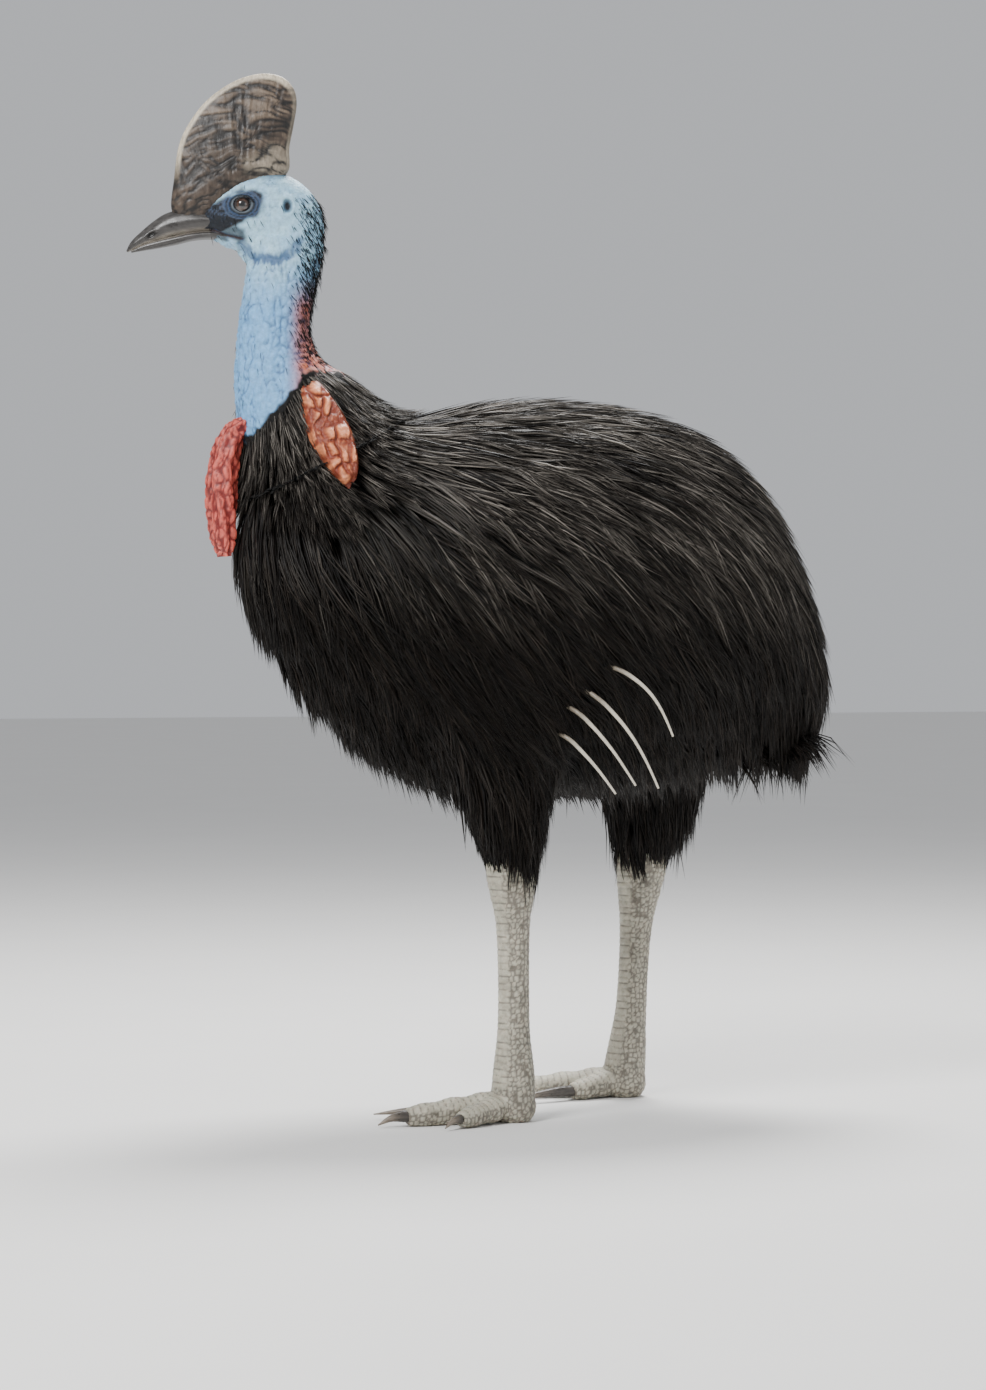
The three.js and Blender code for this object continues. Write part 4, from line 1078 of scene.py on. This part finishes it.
def marched(roots, kind, random):
    count, steps = len(roots), coat["steps"]
    length = kind["length"] * (1 + 0.16 * random.uniform(-1, 1, count))
    turn = np.radians(kind["turn"]) * random.uniform(-1, 1, count)
    curl = np.radians(kind["curl"]) * random.uniform(-1, 1, count)
    proud = kind["proud"] + kind["loose"] * random.uniform(-1, 1, count)
    hang = kind["hang"] * random.uniform(0.35, 1.15, count)
    hang = hang * (1 + 0.4 * smoothstep(roots[:, 0], 150, 350))
    rootLevel = -(coreDepth(roots) + coat["sink"])
    point, way = roots.copy(), lieAt(roots)
    step = length / steps
    _, slope = slopeAt(point)
    overBelly = unit(slope)[:, 2] < coat["overhang"]
    ground = np.array([0, 0, -1.0])
    hangs = np.zeros(count, bool)
    track = {"at": [], "across": [], "out": []}
    for i in range(steps + 1):
        share = i / steps
        value, slope = slopeAt(point)
        out = unit(slope)
        facing = np.sum(lieAt(point) * out, axis=1)
        starts = ~hangs & ~overBelly & ((out[:, 2] < coat["overhang"]) | (facing > coat["facing"]))
        starts |= ~hangs & overBelly & (share > coat["bellyShare"])
        step = np.where(starts, np.minimum(step, hang / max(1, steps - i)), step)
        hangs |= starts
        level = lerp(rootLevel, proud, share**0.75)
        steep = np.maximum(np.sum(slope * slope, axis=1), 0.2)
        settled = point + slope * (level / np.sqrt(steep) - value / steep)[:, None]
        laid = lieAt(settled)
        laid = unit(laid - out * np.sum(laid * out, axis=1)[:, None])
        angle = (turn + curl * share)[:, None]
        laid = laid * np.cos(angle) + np.cross(out, laid) * np.sin(angle)
        down = unit(lerp(way, ground, coat["fall"]))
        way = np.where(hangs[:, None], down, laid)
        point = np.where(hangs[:, None], point, settled)
        across = unit(np.cross(way, out))
        track["at"].append(point)
        track["across"].append(across)
        track["out"].append(np.cross(across, way))
        point = point + way * step[:, None]
    return {name: np.stack(rows, 1) for name, rows in track.items()}


# Places on a flat map: the trunk below, the neck above it and the thighs on top
def unwrapped(roots, region):
    x, y, z = roots.T
    isLeft = y < 0
    if region == "body":
        aside, ahead, middle, spread = y, z - torsoAt(torsoShare(x))[0], 0.5, 0.48
        up = 0.02 + 0.56 * (x + 500) / 940
    elif region == "neck":
        aside, ahead, middle, spread = y, x + 380, 0.5, 0.48
        up = 0.62 + 0.16 * (z - 780) / 320
    else:
        aside, ahead = y - np.where(isLeft, -120, 124), x - np.where(isLeft, -120, 172)
        middle, spread = np.where(isLeft, 0.25, 0.75), 0.22
        up = 0.82 + 0.15 * (z - 330) / 330
    return np.stack([middle + spread * np.arctan2(aside, ahead) / np.pi, up], -1)


def strandForm(track, kind, random):
    clumps, rings = len(track["at"]), kind["rings"]
    owner = np.repeat(np.arange(clumps), kind["strands"])
    count = len(owner)
    shares = np.linspace(0, 1, rings + 1)
    end = random.uniform(0.7, 1, count)
    place = shares[None, :] * end[:, None] * coat["steps"]
    before = np.minimum(place.astype(int), coat["steps"] - 1)
    part = (place - before)[..., None]
    strand = owner[:, None]
    at, across, out = (lerp(track[name][strand, before], track[name][strand, before + 1], part)
                       for name in ("at", "across", "out"))
    aside = kind["wide"] / 2 * random.uniform(-1, 1, count)
    above = kind["thick"] / 2 * random.uniform(-1, 1, count)
    gather = 1 - kind["gather"] * shares[None, :] * random.uniform(0.2, 1.3, count)[:, None]
    phase = random.uniform(0, 6.3, count)[:, None]
    bends = random.uniform(3, 8, count)[:, None]
    wave = kind["wave"] * np.sin(phase + shares * bends)
    lift = kind["loose"] * random.uniform(-0.5, 1, count)[:, None] * shares**2
    centre = (at + across * (aside[:, None] * gather + wave * shares)[..., None]
              + out * (above[:, None] * gather + lift)[..., None])
    profile = np.interp(shares, [0, 0.25, 0.65, 1], [0.5, 1, 0.72, 0])
    wide = (kind["strand"] * random.uniform(0.7, 1.3, count)[:, None] * profile)[..., None]
    roll = random.uniform(-0.7, 0.7, count)[:, None, None]
    flat = across * np.cos(roll) + out * np.sin(roll)
    raised = out * np.cos(roll) - across * np.sin(roll)
    corners = np.stack([centre + flat * wide - raised * wide * 0.25,
                        centre - flat * wide - raised * wide * 0.25,
                        centre + raised * wide * 0.6], 2)[:, :rings]
    points = np.concatenate([corners.reshape(count, rings * 3, 3), centre[:, -1:]], 1)
    size = rings * 3 + 1
    quads, ends = [], [(0, 1, 2)]
    for ring in range(rings):
        for side in range(3):
            a, b = 3 * ring + side, 3 * ring + (side + 1) % 3
            if ring == rings - 1:
                ends.append((b, a, size - 1))
            else:
                quads.append((b, a, a + 3, b + 3))
    start = (np.arange(count) * size)[:, None, None]
    groups = [(np.array(quads)[None] + start).reshape(-1, 4),
              (np.array(ends)[None] + start).reshape(-1, 3)]
    along = np.append(np.repeat(shares[:rings], 3), 1)
    return points.reshape(-1, 3), groups, owner, along


def coatTone(roots, owner, along, random):
    count = len(owner)
    middle, high, _ = torsoAt(torsoShare(roots[:, 0]))
    up = smoothstep((roots[:, 2] - middle) / high, 0.1, 0.9)
    chance = random.uniform(0, 1, count)
    clumpLight = random.uniform(0, 1, len(roots)) ** 1.2
    bright = (0.05 + 1.3 * up[owner]) * chance**1.5 * clumpLight[owner]
    bright = np.minimum(bright, 0.8)
    brown = random.uniform(0, 1, count) * lerp(0.3, 1, clumpLight[owner])
    colour = blendColours(coat["black"], coat["brown"], brown)
    colour = blendColours(colour, coat["sheen"], bright)
    shade = lerp(0.3, 1.2, along)
    return (colour[:, None, :] * shade[None, :, None]).reshape(-1, 3)


def coatMaterial():
    paint = Paint("coatHair", {"Specular IOR Level": 0.13})
    grain = paint.noise(500, 3)
    paint.toned(grain, 0.7, 1.3)
    paint.roughened(grain, 0.34, 0.5)
    return paint.material


# Each strand is a small patch at its root's place on an unwrap of the skin's own shape
def addBakeMap(piece, groups, places, along):
    across = np.append(np.tile([0.0, 0.5, 1.0], len(along) // 3), 0.5)
    spot = np.stack([across, along], -1) * coat["patch"]
    loops = np.concatenate([faces.ravel() for faces in groups])
    layer = piece.data.uv_layers.new(name="OFBake")
    spread = (places[:, None] + spot[None]).reshape(-1, 2)[loops]
    layer.data.foreach_set("uv", spread.astype(np.float32).ravel())


def addStrands(name, track, roots, region, kind, random):
    points, groups, owner, along = strandForm(track, kind, random)
    piece = addMesh(name, (points, groups), coatHair)
    addBakeMap(piece, groups, unwrapped(roots, region)[owner], along)
    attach(piece, "root")
    return piece, owner, along


def addCoat(region, roots, random):
    kind = kinds[region]
    track = marched(roots, kind, random)
    trianglesEach = 6 * (kind["rings"] - 1) + 4
    most = coat["pieceTriangles"] // (trianglesEach * kind["strands"])
    cuts = math.ceil(len(roots) / most)
    for i, chosen in enumerate(np.array_split(np.argsort(roots[:, 0]), cuts)):
        part = {key: rows[chosen] for key, rows in track.items()}
        piece, owner, along = addStrands(f"coat_{region}_{i + 1}", part, roots[chosen], region,
                                         kind, random)
        paintPoints(piece, coatTone(roots[chosen], owner, along, random))
    print("coat", region, len(roots), "clumps in", cuts)


def coatPieces():
    random = np.random.default_rng(5)
    jitter = random.uniform(-4, 4, outlinePoints.shape)
    jitter -= outlineNormals * np.sum(jitter * outlineNormals, axis=1)[:, None]
    roots = outlinePoints + jitter
    x, y, z = roots.T
    share, column, _ = patchShare(roots)
    onPatch = (share > -0.1) & (share < 1.02) & (np.abs(column) < 0.85) & (np.abs(y) > 25)
    ragged = noiseAt(roots, 30, 67)
    feathered = (underEdge(roots) > -3) & (z > coat["lowest"]) & ~onPatch
    isThigh = z < 500 + 20 * ragged
    isNeck = (z > 905 + 60 * ragged) & (x < -275 + 40 * ragged)
    regions = {"thigh": isThigh, "neck": isNeck, "body": ~isThigh & ~isNeck}
    chance = random.uniform(0, 1, len(roots))
    for region, inside in regions.items():
        chosen = feathered & inside & (chance < bodyShape["voxel"] ** 2 / kinds[region]["spacing"])
        addCoat(region, roots[chosen], random)


coatHair = coatMaterial()
coatPieces()
print("coat done")

# Fine dark bristles on the nape, the crown and over the eyes

bristle = {"strands": 1, "rings": 3, "wide": 0, "thick": 0, "strand": 0.6, "gather": 0,
           "wave": 0.9, "loose": 1.4, "length": 20, "lift": 5, "count": 2600, "lashes": 26,
           "tone": (0.012, 0.012, 0.012)}


def bristlePieces():
    random = np.random.default_rng(9)
    normals = normalsOf(headSkin, headQuads)
    local = toHead(headSkin)
    onNape = headBack * smoothstep(headSkin[:, 2], 1062, 1085) * (1 - smoothstep(local[:, 2], 30, 60))
    chance = 0.02 + 0.98 * onNape * (1 - smoothstep(headMasks(headSkin)["lores"], 0, 0.2))
    bare = (underEdge(headSkin) < 4) & (np.abs(local[:, 1]) > 1)
    clear = headMasks(headSkin)["eye"] > 2
    weight = chance * bare * clear
    chosen = random.choice(len(headSkin), bristle["count"], replace=False, p=weight / weight.sum())
    roots, out = headSkin[chosen], normals[chosen]
    length = bristle["length"] * random.uniform(0.5, 1.2, len(roots))
    way = np.array([0.45, 0, -0.9]) + 0.2 * random.uniform(-1, 1, roots.shape)
    for side in (-1, 1):
        angle = np.linspace(0.35, 2.7, bristle["lashes"])
        angle = angle + 0.05 * random.uniform(-1, 1, bristle["lashes"])
        rim = np.stack([eyeCentre[0] + 13 * np.cos(angle), np.full(len(angle), side * 36.5),
                        eyeCentre[2] + 10.5 * np.sin(angle)], -1)
        lash = np.stack([0.8 * np.cos(angle), np.full(len(angle), side * 0.75), np.sin(angle)], -1)
        roots = np.vstack([roots, toBird(rim)])
        out = np.vstack([out, toBird(lash) - np.array(headPlace["pivot"])])
        way = np.vstack([way, toBird(lash + (0.5, 0, 0)) - np.array(headPlace["pivot"])])
        length = np.append(length, 9 * random.uniform(0.7, 1.2, len(angle)))
    out = unit(out)
    way = unit(unit(way) - out * np.sum(unit(way) * out, axis=1)[:, None] * 0.8)
    share = np.linspace(0, 1, coat["steps"] + 1)[None, :, None]
    rise = bristle["lift"] * length[:, None, None] / bristle["length"] * (share - 0.45 * share**2)
    at = roots[:, None] + way[:, None] * share * length[:, None, None] + out[:, None] * (rise - 0.8)
    across = np.repeat(unit(np.cross(way, out))[:, None], coat["steps"] + 1, 1)
    track = {"at": at, "across": across, "out": np.repeat(out[:, None], coat["steps"] + 1, 1)}
    piece, owner, along = addStrands("bristles", track, roots, "neck", bristle, random)
    paintPoints(piece, np.full((len(owner) * len(along), 3), bristle["tone"]))


bristlePieces()
print("bristles done")

# Quills

quill = {"rows": [((-54, 560), (34, 470), 4), ((-44, 598), (60, 482), 6), ((-22, 622), (92, 478), 12),
                  ((10, 655), (112, 552), 16)],
         "over": 11, "radius": (3.4, 1.5), "pale": (0.62, 0.57, 0.47), "root": (0.2, 0.17, 0.13),
         "sides": 14, "rings": 60,
         "look": {"gloss": 0.5, "grain": (300, 4, 0.6), "stretch": (1, 1, 1),
                  "shades": (0.8, 1.15), "roughness": (0.28, 0.42), "bump": (0.2, 0.0005)}}


def quillPieces():
    material = hornMaterial("quillHorn", quill["look"])
    sides, rings = quill["sides"], quill["rings"]
    share = np.linspace(0, 1, 12)
    # The pale shaft colour is a painted highlight, standing in for the shine on the glossy black quills
    pale = np.repeat(smoothstep(np.linspace(0, 1, rings + 1), 0.1, 0.3), sides)
    tone = blendColours(quill["root"], quill["pale"], np.append(pale, [0, 1]))
    for name, side in bothSides.items():
        forms = []
        for start, end, bow in quill["rows"]:
            span = np.subtract(end, start)
            away = np.array([-span[1], span[0]]) / np.hypot(*span)
            bowed = away * (bow * np.sin(np.pi * share))[:, None]
            middle = np.array(start) + share[:, None] * span + bowed
            over = quill["over"] - 34 * (1 - smoothstep(share, 0, 0.14))
            flank = flankAt(middle[:, 0], middle[:, 1])
            y = side * (np.maximum(flank, flank[0] * (1 - 0.14 * share)) + over)
            radius = lerp(*quill["radius"], share)
            rows = np.stack([middle[:, 0], y, middle[:, 1], radius, radius], -1)
            points, groups = tubeForm(rows, sides, rings)
            forms.append((points, facedOut(points - points.mean(0), groups)))
        piece = addMesh("quills_" + name, joinedForms(forms), material)
        paintPoints(piece, np.tile(tone, (len(forms), 1)))
        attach(piece, "root")
        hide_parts("wing_" + name)


quillPieces()
print("quills done")

# Floor, light and camera

studio = {
    "floor": (0.80, 0.79, 0.77), "reach": 20000, "sky": (0.86, 0.88, 0.92), "world": 0.62,
    "target": (-100, 0, 800),
    "lights": [("key", (-2800, -2600, 3600), 1.8, 240), ("fill", (2600, -3200, 1800), 3.0, 30),
               ("back", (700, 1500, 3800), 1.8, 260)],
}
view = {"at": (-1646, -5770, 745), "look": (0.2588, 0.9659, -0.0230), "lens": 106.3}


def stagePieces():
    side = studio["reach"]
    corners = np.array([(-side, -side, 0), (side, -side, 0), (side, side, 0), (-side, side, 0)], float)
    paint = Paint("paleFloor", {"Roughness": 0.8})
    tint = paint.spread(paint.noise(3, 3), 0.98, 1.0)
    paint.feed("Base Color", paint.multiplied(rgba(studio["floor"]), tint))
    floor = addMesh("floor", (corners, [np.array([[0, 1, 2, 3]])]), paint.material, smooth=False)
    world = bpy.data.worlds.new("studio")
    world.use_nodes = True
    background = world.node_tree.nodes["Background"]
    background.inputs["Color"].default_value = rgba(studio["sky"])
    background.inputs["Strength"].default_value = studio["world"]
    bpy.context.scene.world = world
    target = Vector(toRow([studio["target"]])[0])
    for name, place, size, power in studio["lights"]:
        light = bpy.data.lights.new(name, "AREA")
        light.shape, light.size, light.energy = "DISK", size, power
        lamp = bpy.data.objects.new(name, light)
        lamp.location = Vector(toRow([place])[0])
        lamp.rotation_euler = (target - lamp.location).to_track_quat("-Z", "Y").to_euler()
        bpy.context.scene.collection.objects.link(lamp)


def addCamera():
    data = bpy.data.cameras.new("view")
    data.lens, data.sensor_width = view["lens"], 36
    data.clip_start, data.clip_end = 0.05, 60
    camera = bpy.data.objects.new("view", data)
    camera.location = Vector(toRow([view["at"]])[0])
    camera.rotation_euler = Vector(view["look"]).to_track_quat("-Z", "Y").to_euler()
    bpy.context.scene.collection.objects.link(camera)
    bpy.context.scene.camera = camera


stagePieces()
addCamera()
print("stage and camera done")
